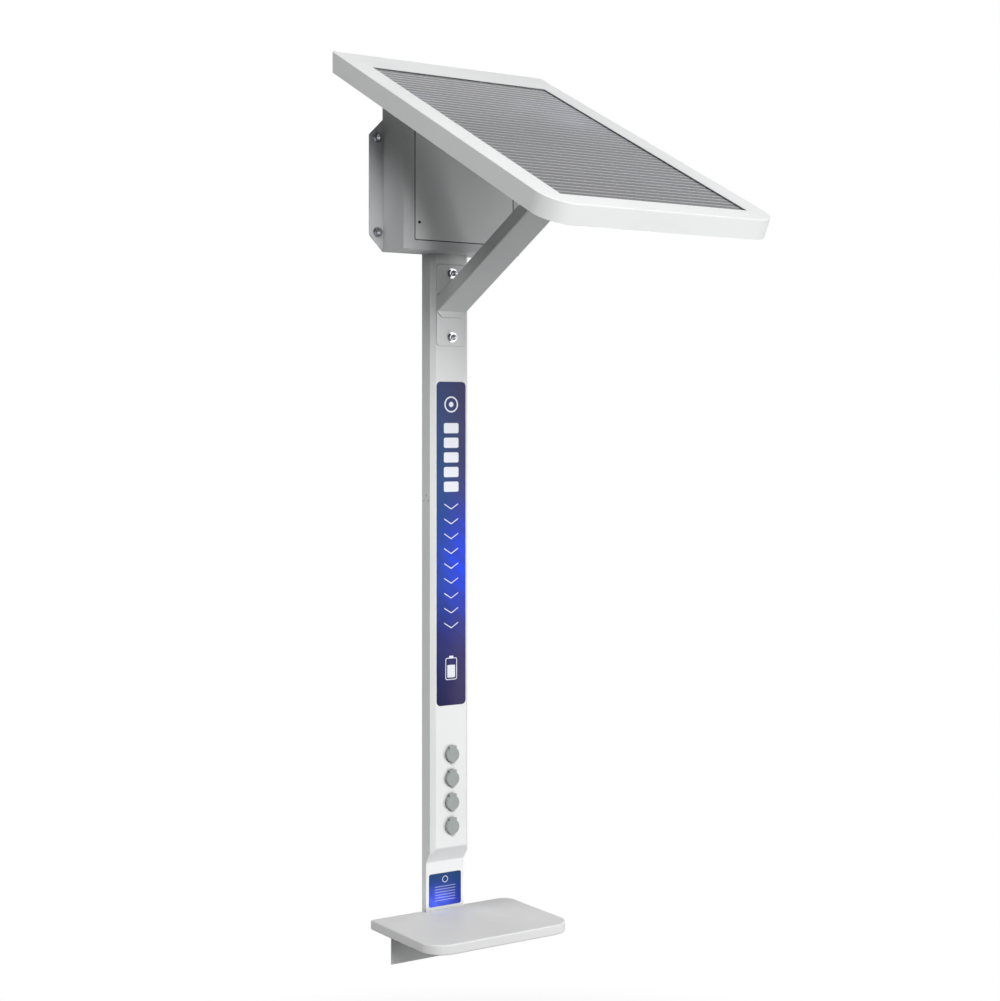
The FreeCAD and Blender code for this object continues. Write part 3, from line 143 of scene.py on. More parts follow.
def makeEdgeWearAndHighlight():
    # a mask along outer edges, broken up by noise: the rounded normal leaves the flat one there; the lighter
    # edge tone is partly wear and partly painted highlight where a rounded edge catches the light
    group, start, end = openGroup("edgeWearAndHighlight", [
        ("Width", "Float", 0.0012), ("Breakup", "Float", 260.0), ("Amount", "Float", 0.5),
    ], [("Mask", "Float")])
    round_ = put(group, "Bevel", {"Radius": start["Width"]}, samples=4).outputs[0]
    flat = put(group, "NewGeometry").outputs["Normal"]
    facing = put(group, "VectorMath", {0: round_, 1: flat}, operation="DOT_PRODUCT").outputs["Value"]
    edge = ramp(group, facing, *masks["wearHighlightEdge"])
    spots = ramp(group, noise(group, position(group), start["Breakup"], 3, 0.7), *masks["wearHighlightSpots"])
    mask = sums(group, "MULTIPLY", sums(group, "MULTIPLY", edge, spots), start["Amount"], clamp=True)
    return deliver(group, end, Mask=mask)


def makeDust():
    # a thin film that settles where the surface looks up, thicker in soft patches
    group, start, end = openGroup("settledDust", [
        ("Amount", "Float", 0.2), ("Patch Scale", "Float", 9.0),
    ], [("Mask", "Float")])
    coords = put(group, "TexCoord").outputs
    up = put(group, "SeparateXYZ", {0: coords["Normal"]}).outputs[2]
    clouds = noise(group, coords["Object"], start["Patch Scale"], 5, 0.65)
    patches = ramp(group, clouds, *masks["dustPatch"])
    specks = ramp(group, noise(group, coords["Object"], masks["speckScale"], 2), *masks["dustSpeck"])
    settled = ramp(group, up, *masks["dustFacing"])
    film = sums(group, "MULTIPLY", settled, sums(group, "MULTIPLY", patches, specks))
    return deliver(group, end, Mask=sums(group, "MULTIPLY", film, start["Amount"], clamp=True))


def makePaintedContactShade():
    # painted shade: a mask in creases and beside parts that stand close, where soft shade falls
    group, start, end = openGroup("paintedContactShade", [
        ("Reach", "Float", 0.014), ("Amount", "Float", 0.6),
    ], [("Mask", "Float")])
    open_ = put(group, "AmbientOcclusion", {"Distance": start["Reach"]}, samples=8).outputs["AO"]
    broken = ramp(group, noise(group, position(group), masks["shadeScale"], 3), *masks["shadeBreak"])
    close = sums(group, "MULTIPLY", ramp(group, open_, *masks["shadeOpen"]), broken)
    return deliver(group, end, Mask=sums(group, "MULTIPLY", close, start["Amount"], clamp=True))


def makeRoundBox():
    # a rounded rectangle on the label: distance to its edge, filled, or an outline where Line is above 0
    group, start, end = openGroup("roundBox", [
        ("Across", "Float", 0.0), ("Up", "Float", 0.0), ("Half Width", "Float", 0.02),
        ("Half Height", "Float", 0.01), ("Corner", "Float", 0.003), ("Line", "Float", 0.0),
    ], [("Mask", "Float")])
    sides = []
    for along, half in (("Across", "Half Width"), ("Up", "Half Height")):
        inner = sums(group, "SUBTRACT", start[half], start["Corner"])
        sides.append(sums(group, "SUBTRACT", sums(group, "ABSOLUTE", start[along]), inner))
    outside = [sums(group, "POWER", sums(group, "MAXIMUM", side, 0.0), 2.0) for side in sides]
    reach = sums(group, "SQRT", sums(group, "ADD", *outside))
    inside = sums(group, "MINIMUM", sums(group, "MAXIMUM", *sides), 0.0)
    distance = sums(group, "SUBTRACT", sums(group, "ADD", reach, inside), start["Corner"])
    halfLine = sums(group, "MULTIPLY", start["Line"], 0.5)
    ring = sums(group, "SUBTRACT", sums(group, "ABSOLUTE", distance), halfLine)
    chosen = put(group, "Mix", {0: sums(group, "GREATER_THAN", start["Line"], 0.0), 2: distance, 3: ring})
    return deliver(group, end, Mask=ramp(group, chosen.outputs[0], *masks["printEdge"]))


surfaceSkin = makeSkin()
edgeWearAndHighlight = makeEdgeWearAndHighlight()
settledDust = makeDust()
paintedContactShade = makePaintedContactShade()
roundBox = makeRoundBox()
print("shared effects ready")


# ---- finishes

def openMaterial(name, **plain):
    # a Principled material; plain values are the same all over and sit on the shader's own sockets
    material = bpy.data.materials.new(name)
    material.use_nodes = True
    tree = material.node_tree
    shader = tree.nodes["Principled BSDF"]
    for key, value in plain.items():
        shader.inputs[key.replace("_", " ")].default_value = value
    return material, tree, shader


# tone and reach of the painted shade in creases, and tone and roughness of settled dust
dustAndPaintedShade = {"paintedShadeTone": (70, 70, 72), "paintedShadeReach": 0.014, "dustTone": (196, 190, 180), "dustRough": 0.35}


def wearSkin(tree, shader, look):
    # colour, roughness and bump from the shared skin, with lighter edges (partly wear, partly painted
    # highlight), painted shade in creases and dust over it
    skin = put(tree, "Group", {
        "Base": tone(*look["base"]), "Shade": tone(*look["shade"]), "Patch Scale": look["patchScale"],
        "Patch Share": look["patchShare"], "Grain Scale": look["grainScale"],
        "Stretch": look.get("stretch", (1, 1, 1)), "Rough Low": look["rough"][0],
        "Rough High": look["rough"][1]}, node_tree=surfaceSkin).outputs
    colour = skin["Color"]
    rough = skin["Roughness"]
    # lighter edges: partly wear, partly painted highlight
    if "wearHighlightTone" in look:
        wearAndHighlight = put(tree, "Group", {"Width": look["wearHighlightWidth"], "Amount": look["wearHighlightAmount"]},
                  node_tree=edgeWearAndHighlight).outputs["Mask"]
        colour = blendColours(tree, wearAndHighlight, colour, tone(*look["wearHighlightTone"]))
    # painted shade: the colour goes darker in creases and beside parts that stand close
    if look.get("crease"):
        reach = look.get("reach", dustAndPaintedShade["paintedShadeReach"])
        paintedShadeMask = put(tree, "Group", {"Amount": look["crease"], "Reach": reach},
                      node_tree=paintedContactShade).outputs["Mask"]
        colour = blendColours(tree, paintedShadeMask, colour, tone(*dustAndPaintedShade["paintedShadeTone"]))
    if look.get("dust"):
        film = put(tree, "Group", {"Amount": look["dust"]}, node_tree=settledDust).outputs["Mask"]
        colour = blendColours(tree, film, colour, tone(*dustAndPaintedShade["dustTone"]))
        rough = sums(tree, "MULTIPLY_ADD", film, dustAndPaintedShade["dustRough"], rough, clamp=True)
    tree.links.new(colour, shader.inputs["Base Color"])
    tree.links.new(rough, shader.inputs["Roughness"])
    bump = put(tree, "Bump", {"Height": skin["Height"], "Strength": look["bump"],
                              "Distance": look["bumpDepth"]})
    tree.links.new(bump.outputs[0], shader.inputs["Normal"])


def skinMaterial(name, look, **plain):
    material, tree, shader = openMaterial(name, **plain)
    wearSkin(tree, shader, look)
    return material


# crease sets the painted shade in creases; the lighter edges are partly wear, partly painted highlight
whitePaint = {
    "base": (232, 233, 233), "shade": (224, 226, 227), "patchScale": 5.0, "patchShare": 0.35,
    "grainScale": 620.0, "rough": (0.46, 0.58), "bump": 0.25, "bumpDepth": 0.0002,
    "wearHighlightTone": (242, 242, 242), "wearHighlightWidth": 0.0012, "wearHighlightAmount": 0.5, "dust": 0.10, "crease": 0.8,
}
# painted shade that reaches further: it darkens the column under the cabinet, round the caps and the bracket
# under the shelf
columnPaint = {**whitePaint, "crease": 0.9, "reach": 0.045}
# the white paint made darker, as painted shade for the cabinet under the panel
shadedCabinetPaint = {**whitePaint, "base": (214, 215, 216), "shade": (206, 208, 210), "crease": 0.25}
shelfBoard = {
    "base": (226, 226, 226), "shade": (218, 219, 220), "patchScale": 7.0, "patchShare": 0.4,
    "grainScale": 1500.0, "rough": (0.44, 0.56), "bump": 0.15, "bumpDepth": 0.00012,
    "wearHighlightTone": (240, 240, 240), "wearHighlightWidth": 0.0015, "wearHighlightAmount": 0.4, "dust": 0.14, "crease": 0.4,
}
capPlastic = {
    "base": (154, 160, 158), "shade": (144, 151, 149), "patchScale": 60.0, "patchShare": 0.35,
    "grainScale": 2600.0, "rough": (0.42, 0.56), "bump": 0.3, "bumpDepth": 0.00006,
    "wearHighlightTone": (186, 190, 189), "wearHighlightWidth": 0.0006, "wearHighlightAmount": 0.5,
}
socketPlastic = {
    "base": (140, 145, 144), "shade": (128, 134, 133), "patchScale": 55.0, "patchShare": 0.4,
    "grainScale": 2600.0, "rough": (0.45, 0.6), "bump": 0.3, "bumpDepth": 0.00006,
    "wearHighlightTone": (168, 172, 171), "wearHighlightWidth": 0.0005, "wearHighlightAmount": 0.4,
}
contactCarrier = {
    "base": (228, 227, 220), "shade": (214, 212, 204), "patchScale": 120.0, "patchShare": 0.4,
    "grainScale": 3000.0, "rough": (0.4, 0.55), "bump": 0.2, "bumpDepth": 0.00004,
}
zincSteel = {
    "base": (188, 190, 194), "shade": (160, 163, 170), "patchScale": 85.0, "patchShare": 0.7,
    "grainScale": 700.0, "stretch": (0.12, 1, 1), "rough": (0.28, 0.44), "bump": 0.18,
    "bumpDepth": 0.00008, "wearHighlightTone": (222, 223, 226), "wearHighlightWidth": 0.0006, "wearHighlightAmount": 0.5,
}
polishedChrome = {
    "base": (178, 180, 184), "shade": (160, 162, 167), "patchScale": 110.0, "patchShare": 0.5,
    "grainScale": 900.0, "rough": (0.13, 0.22), "bump": 0.06, "bumpDepth": 0.00005,
}
blackenedSteel = {
    "base": (40, 40, 42), "shade": (58, 57, 56), "patchScale": 140.0, "patchShare": 0.5,
    "grainScale": 1500.0, "rough": (0.35, 0.5), "bump": 0.15, "bumpDepth": 0.00005,
    "wearHighlightTone": (120, 119, 116), "wearHighlightWidth": 0.0004, "wearHighlightAmount": 0.5,
}
sealRubber = {
    "base": (38, 38, 39), "shade": (52, 52, 53), "patchScale": 40.0, "patchShare": 0.5,
    "grainScale": 1800.0, "rough": (0.62, 0.8), "bump": 0.35, "bumpDepth": 0.0001, "dust": 0.12,
}
batteryCase = {
    "base": (48, 49, 51), "shade": (62, 63, 65), "patchScale": 12.0, "patchShare": 0.5,
    "grainScale": 1600.0, "rough": (0.48, 0.62), "bump": 0.3, "bumpDepth": 0.0001,
    "wearHighlightTone": (92, 93, 94), "wearHighlightWidth": 0.001, "wearHighlightAmount": 0.5,
}
brassPole = {
    "base": (206, 174, 104), "shade": (170, 136, 80), "patchScale": 150.0, "patchShare": 0.7,
    "grainScale": 900.0, "rough": (0.22, 0.42), "bump": 0.12, "bumpDepth": 0.00005,
}
deviceCase = {
    "base": (66, 74, 84), "shade": (56, 63, 72), "patchScale": 20.0, "patchShare": 0.5,
    "grainScale": 1700.0, "rough": (0.45, 0.6), "bump": 0.3, "bumpDepth": 0.00008,
    "wearHighlightTone": (104, 111, 120), "wearHighlightWidth": 0.0007, "wearHighlightAmount": 0.5,
}
anodised = {
    "base": (196, 198, 201), "shade": (182, 184, 188), "patchScale": 14.0, "patchShare": 0.5,
    "grainScale": 800.0, "stretch": (0.08, 1, 1), "rough": (0.3, 0.42), "bump": 0.12,
    "bumpDepth": 0.00006,
}
print("finishes listed")


# ---- printed labels: a blue wash from slate to navy with a bright glow, and plain generic shapes

labels = {
    "slate": (52, 66, 108), "teal": (44, 74, 122), "royal": (46, 70, 134), "navy": (42, 46, 104),
    "deep": (28, 28, 72), "plum": (68, 60, 96), "glow": (40, 76, 240), "ink": (230, 233, 239),
    "top": -0.436, "bottom": -1.165, "glowMiddle": (0.032, -0.846), "glowSize": (0.062, 0.118),
    "stops": ((0.0, "slate"), (0.3, "teal"), (0.62, "royal"), (0.78, "navy"), (1.0, "deep")),
    "plumSpan": (-0.03, 0.04, 0.0, 0.75),
    "ring": -0.487, "ringHalf": 0.0165, "ringLine": 0.0034, "dotHalf": 0.006,
    "bars": 5, "barTop": -0.524, "barPitch": 0.033, "barHalf": (0.0195, 0.0115), "barCorner": 0.004,
    "chevrons": 9, "chevronTop": -0.706, "chevronPitch": 0.0335, "chevronHalf": 0.0185,
    "chevronSlope": 0.62, "chevronThin": 0.0011,
    "battery": -1.083, "caseHalf": (0.0145, 0.024), "caseCorner": 0.004, "caseLine": 0.0018,
    "poleUp": 0.0268, "poleHalf": (0.0055, 0.0024), "poleCorner": 0.001,
    "chargeDown": 0.0055, "chargeHalf": (0.0102, 0.0142), "chargeCorner": 0.002,
}


def inkMark(tree, across, up, **shape):
    # a filled or outlined rounded box; a corner as large as its halves makes it round
    named = {"Half Width": shape["half"][0], "Half Height": shape["half"][1], "Corner": shape["corner"],
             "Line": shape.get("line", 0.0), "Across": across, "Up": up}
    return put(tree, "Group", named, node_tree=roundBox).outputs["Mask"]


def within(tree, value, low, high):
    above = sums(tree, "GREATER_THAN", value, low)
    return sums(tree, "MULTIPLY", above, sums(tree, "LESS_THAN", value, high))


def everyPitch(tree, value, pitch):
    # a length taken again every pitch, measured from the middle of each
    return sums(tree, "SUBTRACT", sums(tree, "WRAP", value, pitch, 0.0), pitch / 2)


streaks = {"tilt": 0.9, "scale": 34.0, "span": (0.3, 0.7, 0.62, 1.0), "fall": -1.1}


def glowAt(tree, across, up, middle, size):
    # an oval glow with soft slanted streaks across it
    side = sums(tree, "DIVIDE", sums(tree, "SUBTRACT", across, middle[0]), size[0])
    rise = sums(tree, "DIVIDE", sums(tree, "SUBTRACT", up, middle[1]), size[1])
    squares = sums(tree, "ADD", sums(tree, "MULTIPLY", side, side), sums(tree, "MULTIPLY", rise, rise))
    oval = sums(tree, "EXPONENT", sums(tree, "MULTIPLY", squares, streaks["fall"]))
    line = sums(tree, "MULTIPLY_ADD", across, streaks["tilt"], up)
    streak = put(tree, "TexNoise", {"W": line, "Scale": streaks["scale"], "Detail": 2.0},
                 noise_dimensions="1D")
    return sums(tree, "MULTIPLY", oval, ramp(tree, streak.outputs[0], *streaks["span"]))


def longPrint(tree):
    # the wash and its glow, then a ring, bars, chevrons and a battery in pale ink
    across, _, up = put(tree, "SeparateXYZ", {0: position(tree)}).outputs
    length = labels["top"] - labels["bottom"]
    down = sums(tree, "DIVIDE", sums(tree, "SUBTRACT", labels["top"], up), length)
    wash = put(tree, "ValToRGB", {0: down})
    bar = wash.color_ramp
    (first, firstShade), *between, (last, lastShade) = labels["stops"]
    bar.elements[0].position, bar.elements[0].color = first, tone(*labels[firstShade])
    bar.elements[1].position, bar.elements[1].color = last, tone(*labels[lastShade])
    for place, shade in between:
        bar.elements.new(place).color = tone(*labels[shade])
    rightward = ramp(tree, across, *labels["plumSpan"])
    washed = blendColours(tree, rightward, wash.outputs[0], tone(*labels["plum"]))
    glow = glowAt(tree, across, up, labels["glowMiddle"], labels["glowSize"])
    colour = blendColours(tree, glow, washed, tone(*labels["glow"]))
    marks = []
    ringUp = sums(tree, "SUBTRACT", up, labels["ring"])
    for half, line in ((labels["ringHalf"], labels["ringLine"]), (labels["dotHalf"], 0.0)):
        marks.append(inkMark(tree, across, ringUp, half=(half, half), corner=half, line=line))
    step = sums(tree, "SUBTRACT", labels["barTop"], up)
    inBar = everyPitch(tree, step, labels["barPitch"])
    filled = inkMark(tree, across, inBar, half=labels["barHalf"], corner=labels["barCorner"])
    shown = within(tree, step, 0.0, labels["bars"] * labels["barPitch"])
    marks.append(sums(tree, "MULTIPLY", filled, shown))
    # chevrons that point down: a share of the distance from the middle, less the height
    sideways = sums(tree, "MULTIPLY", sums(tree, "ABSOLUTE", across), labels["chevronSlope"])
    fall = sums(tree, "ADD", sums(tree, "SUBTRACT", sideways, up), labels["chevronTop"])
    inStep = everyPitch(tree, fall, labels["chevronPitch"])
    thin = inkMark(tree, across, inStep, half=(labels["chevronHalf"], labels["chevronThin"]),
                   corner=labels["chevronThin"])
    shown = within(tree, fall, 0.0, labels["chevrons"] * labels["chevronPitch"])
    marks.append(sums(tree, "MULTIPLY", thin, shown))
    # a battery outline, its pole and its charge
    caseUp = sums(tree, "SUBTRACT", up, labels["battery"])
    marks.append(inkMark(tree, across, caseUp, half=labels["caseHalf"], corner=labels["caseCorner"],
                         line=labels["caseLine"]))
    poleUp = sums(tree, "SUBTRACT", caseUp, labels["poleUp"])
    marks.append(inkMark(tree, across, poleUp, half=labels["poleHalf"], corner=labels["poleCorner"]))
    chargeUp = sums(tree, "ADD", caseUp, labels["chargeDown"])
    marks.append(inkMark(tree, across, chargeUp, half=labels["chargeHalf"], corner=labels["chargeCorner"]))
    ink = marks[0]
    for mark in marks[1:]:
        ink = sums(tree, "MAXIMUM", ink, mark)
    return blendColours(tree, ink, colour, tone(*labels["ink"]))


smallLabel = {
    "top": (34, 66, 112), "low": (30, 44, 150), "glow": (86, 110, 247), "middle": -1.585, "half": 0.037,
    "glowMiddle": (-0.022, -1.610), "glowSize": (0.042, 0.030), "ring": 0.0225, "ringSize": 0.0068,
    "ringLine": 0.0016, "ringShare": 0.8, "lines": 6, "lineTop": 0.010, "linePitch": 0.0062,
    "lineHalf": (0.027, 0.0009), "lineCorner": 0.0004, "lineShare": 0.35,
}


def smallPrint(tree):
    # a ring over a few faint plain lines
    across, _, up = put(tree, "SeparateXYZ", {0: position(tree)}).outputs
    rise = sums(tree, "SUBTRACT", up, smallLabel["middle"])
    fall = ramp(tree, rise, smallLabel["half"], -smallLabel["half"])
    wash = blendColours(tree, fall, tone(*smallLabel["top"]), tone(*smallLabel["low"]))
    glow = glowAt(tree, across, up, smallLabel["glowMiddle"], smallLabel["glowSize"])
    colour = blendColours(tree, glow, wash, tone(*smallLabel["glow"]))
    size = smallLabel["ringSize"]
    ring = inkMark(tree, across, sums(tree, "SUBTRACT", rise, smallLabel["ring"]), half=(size, size),
                   corner=size, line=smallLabel["ringLine"])
    step = sums(tree, "SUBTRACT", smallLabel["lineTop"], rise)
    pitch = smallLabel["linePitch"]
    line = inkMark(tree, across, everyPitch(tree, step, pitch), half=smallLabel["lineHalf"],
                   corner=smallLabel["lineCorner"])
    lines = sums(tree, "MULTIPLY", line, within(tree, step, 0.0, smallLabel["lines"] * pitch))
    ink = sums(tree, "MAXIMUM", sums(tree, "MULTIPLY", ring, smallLabel["ringShare"]),
               sums(tree, "MULTIPLY", lines, smallLabel["lineShare"]))
    return blendColours(tree, ink, colour, tone(*labels["ink"]))


labelFilm = {
    "base": (60, 70, 140), "shade": (50, 60, 130), "patchScale": 9.0, "patchShare": 0.2,
    "grainScale": 1300.0, "rough": (0.34, 0.48), "bump": 0.1, "bumpDepth": 0.00004,
    "filmAmount": 0.04, "fadeScale": 16.0, "fadeSpan": (0.3, 0.8, 0.0, 0.025), "fadeTone": (150, 156, 190),
}


def labelMaterial(name, printed):
    # the skin gives roughness and bump; the print, a little faded and dusty, gives the colour
    material, tree, shader = openMaterial(name, Specular_IOR_Level=0.12)
    wearSkin(tree, shader, labelFilm)
    colour = printed(tree)
    film = put(tree, "Group", {"Amount": labelFilm["filmAmount"]}, node_tree=settledDust).outputs["Mask"]
    faded = ramp(tree, noise(tree, position(tree), labelFilm["fadeScale"], 4), *labelFilm["fadeSpan"])
    veil = sums(tree, "ADD", film, faded)
    colour = blendColours(tree, veil, colour, tone(*labelFilm["fadeTone"]))
    tree.links.new(colour, shader.inputs["Base Color"])
    return material


# ---- solar cells: narrow strips with a silver line between them, under clear glass

cells = {
    "tilt": 26.7, "rear": 0.285, "pitch": 0.0194, "start": 0.096, "line": 0.0036, "finger": 0.0021,
    "dot": 0.0388, "dark": (40, 40, 46), "warm": (66, 56, 52), "cool": (46, 54, 72),
    "silver": (214, 214, 216), "paintedReflection": (150, 155, 166), "lineEdge": 0.012, "lineMetal": 0.5,
    "cloudScale": 3.2, "cloudSpan": (0.34, 0.68), "tintShare": (0.4, 0.3),
    "fingerSpan": (0.40, 0.48), "fingerShare": 0.05, "dotShift": 0.01, "dotSpan": (0.40, 0.47),
    "dotShare": (0.3, 0.7), "paintedReflectionScale": 3.0, "paintedReflectionSpan": (0.5, 0.75, 0.0, 0.4),
    "gritScale": 900.0, "rough": (0.2, 0.3), "bump": 0.05, "bumpDepth": 0.0001,
}


def cellMaterial():
    material, tree, shader = openMaterial("solarCells", Specular_IOR_Level=0.1)
    where = position(tree)
    lean = math.radians(cells["tilt"])
    downhill = (0, -math.cos(lean), -math.sin(lean))
    slope = put(tree, "VectorMath", {0: where, 1: downhill}, operation="DOT_PRODUCT")
    down = sums(tree, "ADD", slope.outputs["Value"], cells["rear"] * math.sin(lean) - cells["start"])
    across = put(tree, "SeparateXYZ", {0: where}).outputs[0]
    strip = sums(tree, "DIVIDE", down, cells["pitch"])
    number = sums(tree, "FLOOR", strip)
    inStrip = sums(tree, "ABSOLUTE", sums(tree, "SUBTRACT", sums(tree, "FRACT", strip), 0.5))
    half = 0.5 - cells["line"] / cells["pitch"] / 2
    line = ramp(tree, inStrip, half - cells["lineEdge"], half + cells["lineEdge"])
    # each strip has its own slight tint
    pick = put(tree, "TexWhiteNoise", {"W": number}, noise_dimensions="1D").outputs["Value"]
    clouds = ramp(tree, noise(tree, where, cells["cloudScale"], 3), *cells["cloudSpan"])
    tint = blendColours(tree, clouds, tone(*cells["warm"]), tone(*cells["cool"]))
    share = sums(tree, "MULTIPLY_ADD", pick, *cells["tintShare"])
    colour = blendColours(tree, share, tone(*cells["dark"]), tint)
    fine = sums(tree, "PINGPONG", across, cells["finger"] / 2)
    fingerEdges = [cells["finger"] * part for part in cells["fingerSpan"]]
    finger = ramp(tree, fine, *fingerEdges, 0.0, cells["fingerShare"])
    colour = blendColours(tree, finger, colour, tone(*cells["silver"]))
    # the silver lines brighten at evenly spaced dots, shifted a little from strip to strip
    shifted = sums(tree, "MULTIPLY_ADD", pick, cells["dotShift"], across)
    dotAcross = sums(tree, "PINGPONG", shifted, cells["dot"] / 2)
    dot = ramp(tree, dotAcross, *(cells["dot"] * part for part in cells["dotSpan"]))
    shine = sums(tree, "MULTIPLY", line, sums(tree, "MULTIPLY_ADD", dot, *cells["dotShare"]))
    colour = blendColours(tree, shine, colour, tone(*cells["silver"]))
    # painted reflection: faint pale cloudy patches in the cells' colour, standing in for whitish reflections
    # in the glass
    paintedReflection = ramp(tree, noise(tree, where, cells["paintedReflectionScale"], 5, 0.55), *cells["paintedReflectionSpan"])
    colour = blendColours(tree, paintedReflection, colour, tone(*cells["paintedReflection"]))
    tree.links.new(colour, shader.inputs["Base Color"])
    tree.links.new(sums(tree, "MULTIPLY", line, cells["lineMetal"]), shader.inputs["Metallic"])
    grit = noise(tree, where, cells["gritScale"], 2)
    tree.links.new(sums(tree, "MULTIPLY_ADD", grit, *cells["rough"]), shader.inputs["Roughness"])
    bump = put(tree, "Bump", {"Height": sums(tree, "ADD", line, grit), "Strength": cells["bump"],
                              "Distance": cells["bumpDepth"]})
    tree.links.new(bump.outputs[0], shader.inputs["Normal"])
    return material


glass = {
    "index": 1.3, "rough": (0.08, 0.03), "tint": (236, 241, 244), "smearScale": 5.5, "smearSpan": (0.42, 0.7),
    "rippleScale": 7.0, "ripple": 0.03, "rippleDepth": 0.0005,
}


def glassMaterial():
    # clear, slightly rippled glass with faint smears; shadow rays pass straight through
    material, tree, shader = openMaterial("moduleGlass", IOR=glass["index"], Transmission_Weight=1.0)
    shader.inputs["Base Color"].default_value = tone(*glass["tint"])
    where = position(tree)
    smears = ramp(tree, noise(tree, where, glass["smearScale"], 4, 0.6), *glass["smearSpan"])
    tree.links.new(sums(tree, "MULTIPLY_ADD", smears, *glass["rough"]), shader.inputs["Roughness"])
    ripple = put(tree, "Bump", {"Height": noise(tree, where, glass["rippleScale"], 2),
                                "Strength": glass["ripple"], "Distance": glass["rippleDepth"]})
    tree.links.new(ripple.outputs[0], shader.inputs["Normal"])
    shadow = put(tree, "LightPath").outputs["Is Shadow Ray"]
    clear = put(tree, "BsdfTransparent", {"Color": tone(*glass["tint"])})
    passing = put(tree, "MixShader", {0: shadow, 1: shader.outputs[0], 2: clear.outputs[0]})
    tree.links.new(passing.outputs[0], tree.nodes["Material Output"].inputs["Surface"])
    return material


materials = {
    "whitePaint": skinMaterial("whitePaint", whitePaint, Specular_IOR_Level=0.25),
    "columnPaint": skinMaterial("columnPaint", columnPaint, Specular_IOR_Level=0.25),
    "shadedCabinetPaint": skinMaterial("shadedCabinetPaint", shadedCabinetPaint, Specular_IOR_Level=0.25),
    "shelfBoard": skinMaterial("shelfBoard", shelfBoard, Specular_IOR_Level=0.25),
    "capPlastic": skinMaterial("capPlastic", capPlastic),
    "socketPlastic": skinMaterial("socketPlastic", socketPlastic),
    "contactCarrier": skinMaterial("contactCarrier", contactCarrier),
    "zincSteel": skinMaterial("zincSteel", zincSteel, Metallic=1.0),
    "polishedChrome": skinMaterial("polishedChrome", polishedChrome, Metallic=1.0),
    "blackenedSteel": skinMaterial("blackenedSteel", blackenedSteel, Metallic=0.6),
    "sealRubber": skinMaterial("sealRubber", sealRubber),
    "batteryCase": skinMaterial("batteryCase", batteryCase),
    "brassPole": skinMaterial("brassPole", brassPole, Metallic=1.0),
    "deviceCase": skinMaterial("deviceCase", deviceCase),
    "anodised": skinMaterial("anodised", anodised, Metallic=1.0),
    "longPrint": labelMaterial("longPrint", longPrint),
    "smallPrint": labelMaterial("smallPrint", smallPrint),
    "solarCells": cellMaterial(),
    "moduleGlass": glassMaterial(),
}
wornBy = {
    "whitePaint": ["housing_shell", "housing_base", "strut_tube", "strut_end_plate", "strut_foot_plate",
                   "strut_top_plate", "column_back_plate", "cabinet_cover"],
    "columnPaint": ["column_channel", "shelf_bracket"],
    "shadedCabinetPaint": ["cabinet_shell", "cabinet_back_plate"],
    "shelfBoard": ["shelf_top"],
    "capPlastic": ["usb_cap_1", "usb_cap_2", "usb_cap_3", "usb_cap_4"],
    "socketPlastic": ["usb_socket_1", "usb_socket_2", "usb_socket_3", "usb_socket_4", "usb_ring_nuts"],
    "contactCarrier": ["usb_port_tongues"],
    "zincSteel": ["usb_hinge_pins", "wall_studs", "strut_studs", "floor_bolts", "foot_bolts", "roof_bolts",
                  "strut_top_bolts", "small_hex_nuts", "large_hex_nuts", "sunk_screws", "inner_screws",
                  "shelf_screws", "clamp_studs", "clamp_nuts", "strut_backing_plate", "strut_backing_bar",
                  "housing_rim", "battery_tray", "battery_strap", "cover_frame"],
    "polishedChrome": ["dome_nuts", "dome_washers", "usb_port_shells"],
    "blackenedSteel": ["cover_screws"],
    "sealRubber": ["cover_gasket", "cable_grommets"],
    "batteryCase": ["battery"],
    "brassPole": ["battery_terminals"],
    "deviceCase": ["charge_controller", "fuse_holder", "junction_box"],
    "anodised": ["pv_frame", "pv_clamps"],
    "longPrint": ["long_label"],
    "smallPrint": ["small_label"],
    "solarCells": ["pv_cells"],
    "moduleGlass": ["pv_glass"],
}
for finish, members in wornBy.items():
    for name in members:
        for held in nodes[name].material_slots:
            held.material = materials[finish]
print("finishes on", sum(len(members) for members in wornBy.values()), "nodes")


# ---- new pieces, as surfaces on a grid

def layMesh(name, rows, body, material, closeRows=False, closeEnds=False):
    # rows is an array of rings (rows, points, 3); each ring joins its neighbour and its own start;
    # closeRows joins the last ring to the first, closeEnds fills both end rings with a fan
    count, around = rows.shape[:2]
    points = rows.reshape(-1, 3)
    first = np.arange(count if closeRows else count - 1)[:, None]
    step = np.arange(around)[None, :]
    near, far = first * around, (first + 1) % count * around
    turn = (step + 1) % around
    quads = np.stack([near + step, near + turn, far + turn, far + step], -1).reshape(-1, 4)
    faces = quads.tolist()
    if closeEnds:
        points = np.vstack([points, rows[0].mean(0), rows[-1].mean(0)])
        ring = np.arange(around)
        last = (count - 1) * around
        low = np.stack([(ring + 1) % around, ring, np.full(around, count * around)], -1)
        high = np.stack([last + ring, last + (ring + 1) % around, np.full(around, count * around + 1)], -1)
        faces += low.tolist() + high.tolist()
    mesh = bpy.data.meshes.new(name)
    mesh.from_pydata(points.tolist(), [], faces)
    mesh.materials.append(material)
    piece = bpy.data.objects.new(name, mesh)
    bpy.context.scene.collection.objects.link(piece)
    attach(piece, body)
    return piece


def joinPieces(name, pieces):
    # several meshes become one piece
    with bpy.context.temp_override(active_object=pieces[0], selected_editable_objects=pieces):
        bpy.ops.object.join()
    pieces[0].name = name
    pieces[0].data.name = name
    return pieces[0]


def smoothBy(piece, degrees):
    # smooth faces, with edges sharper than the angle kept crisp
    piece.data.polygons.foreach_set("use_smooth", np.ones(len(piece.data.polygons), bool))
    piece.data.set_sharp_from_angle(angle=math.radians(degrees))


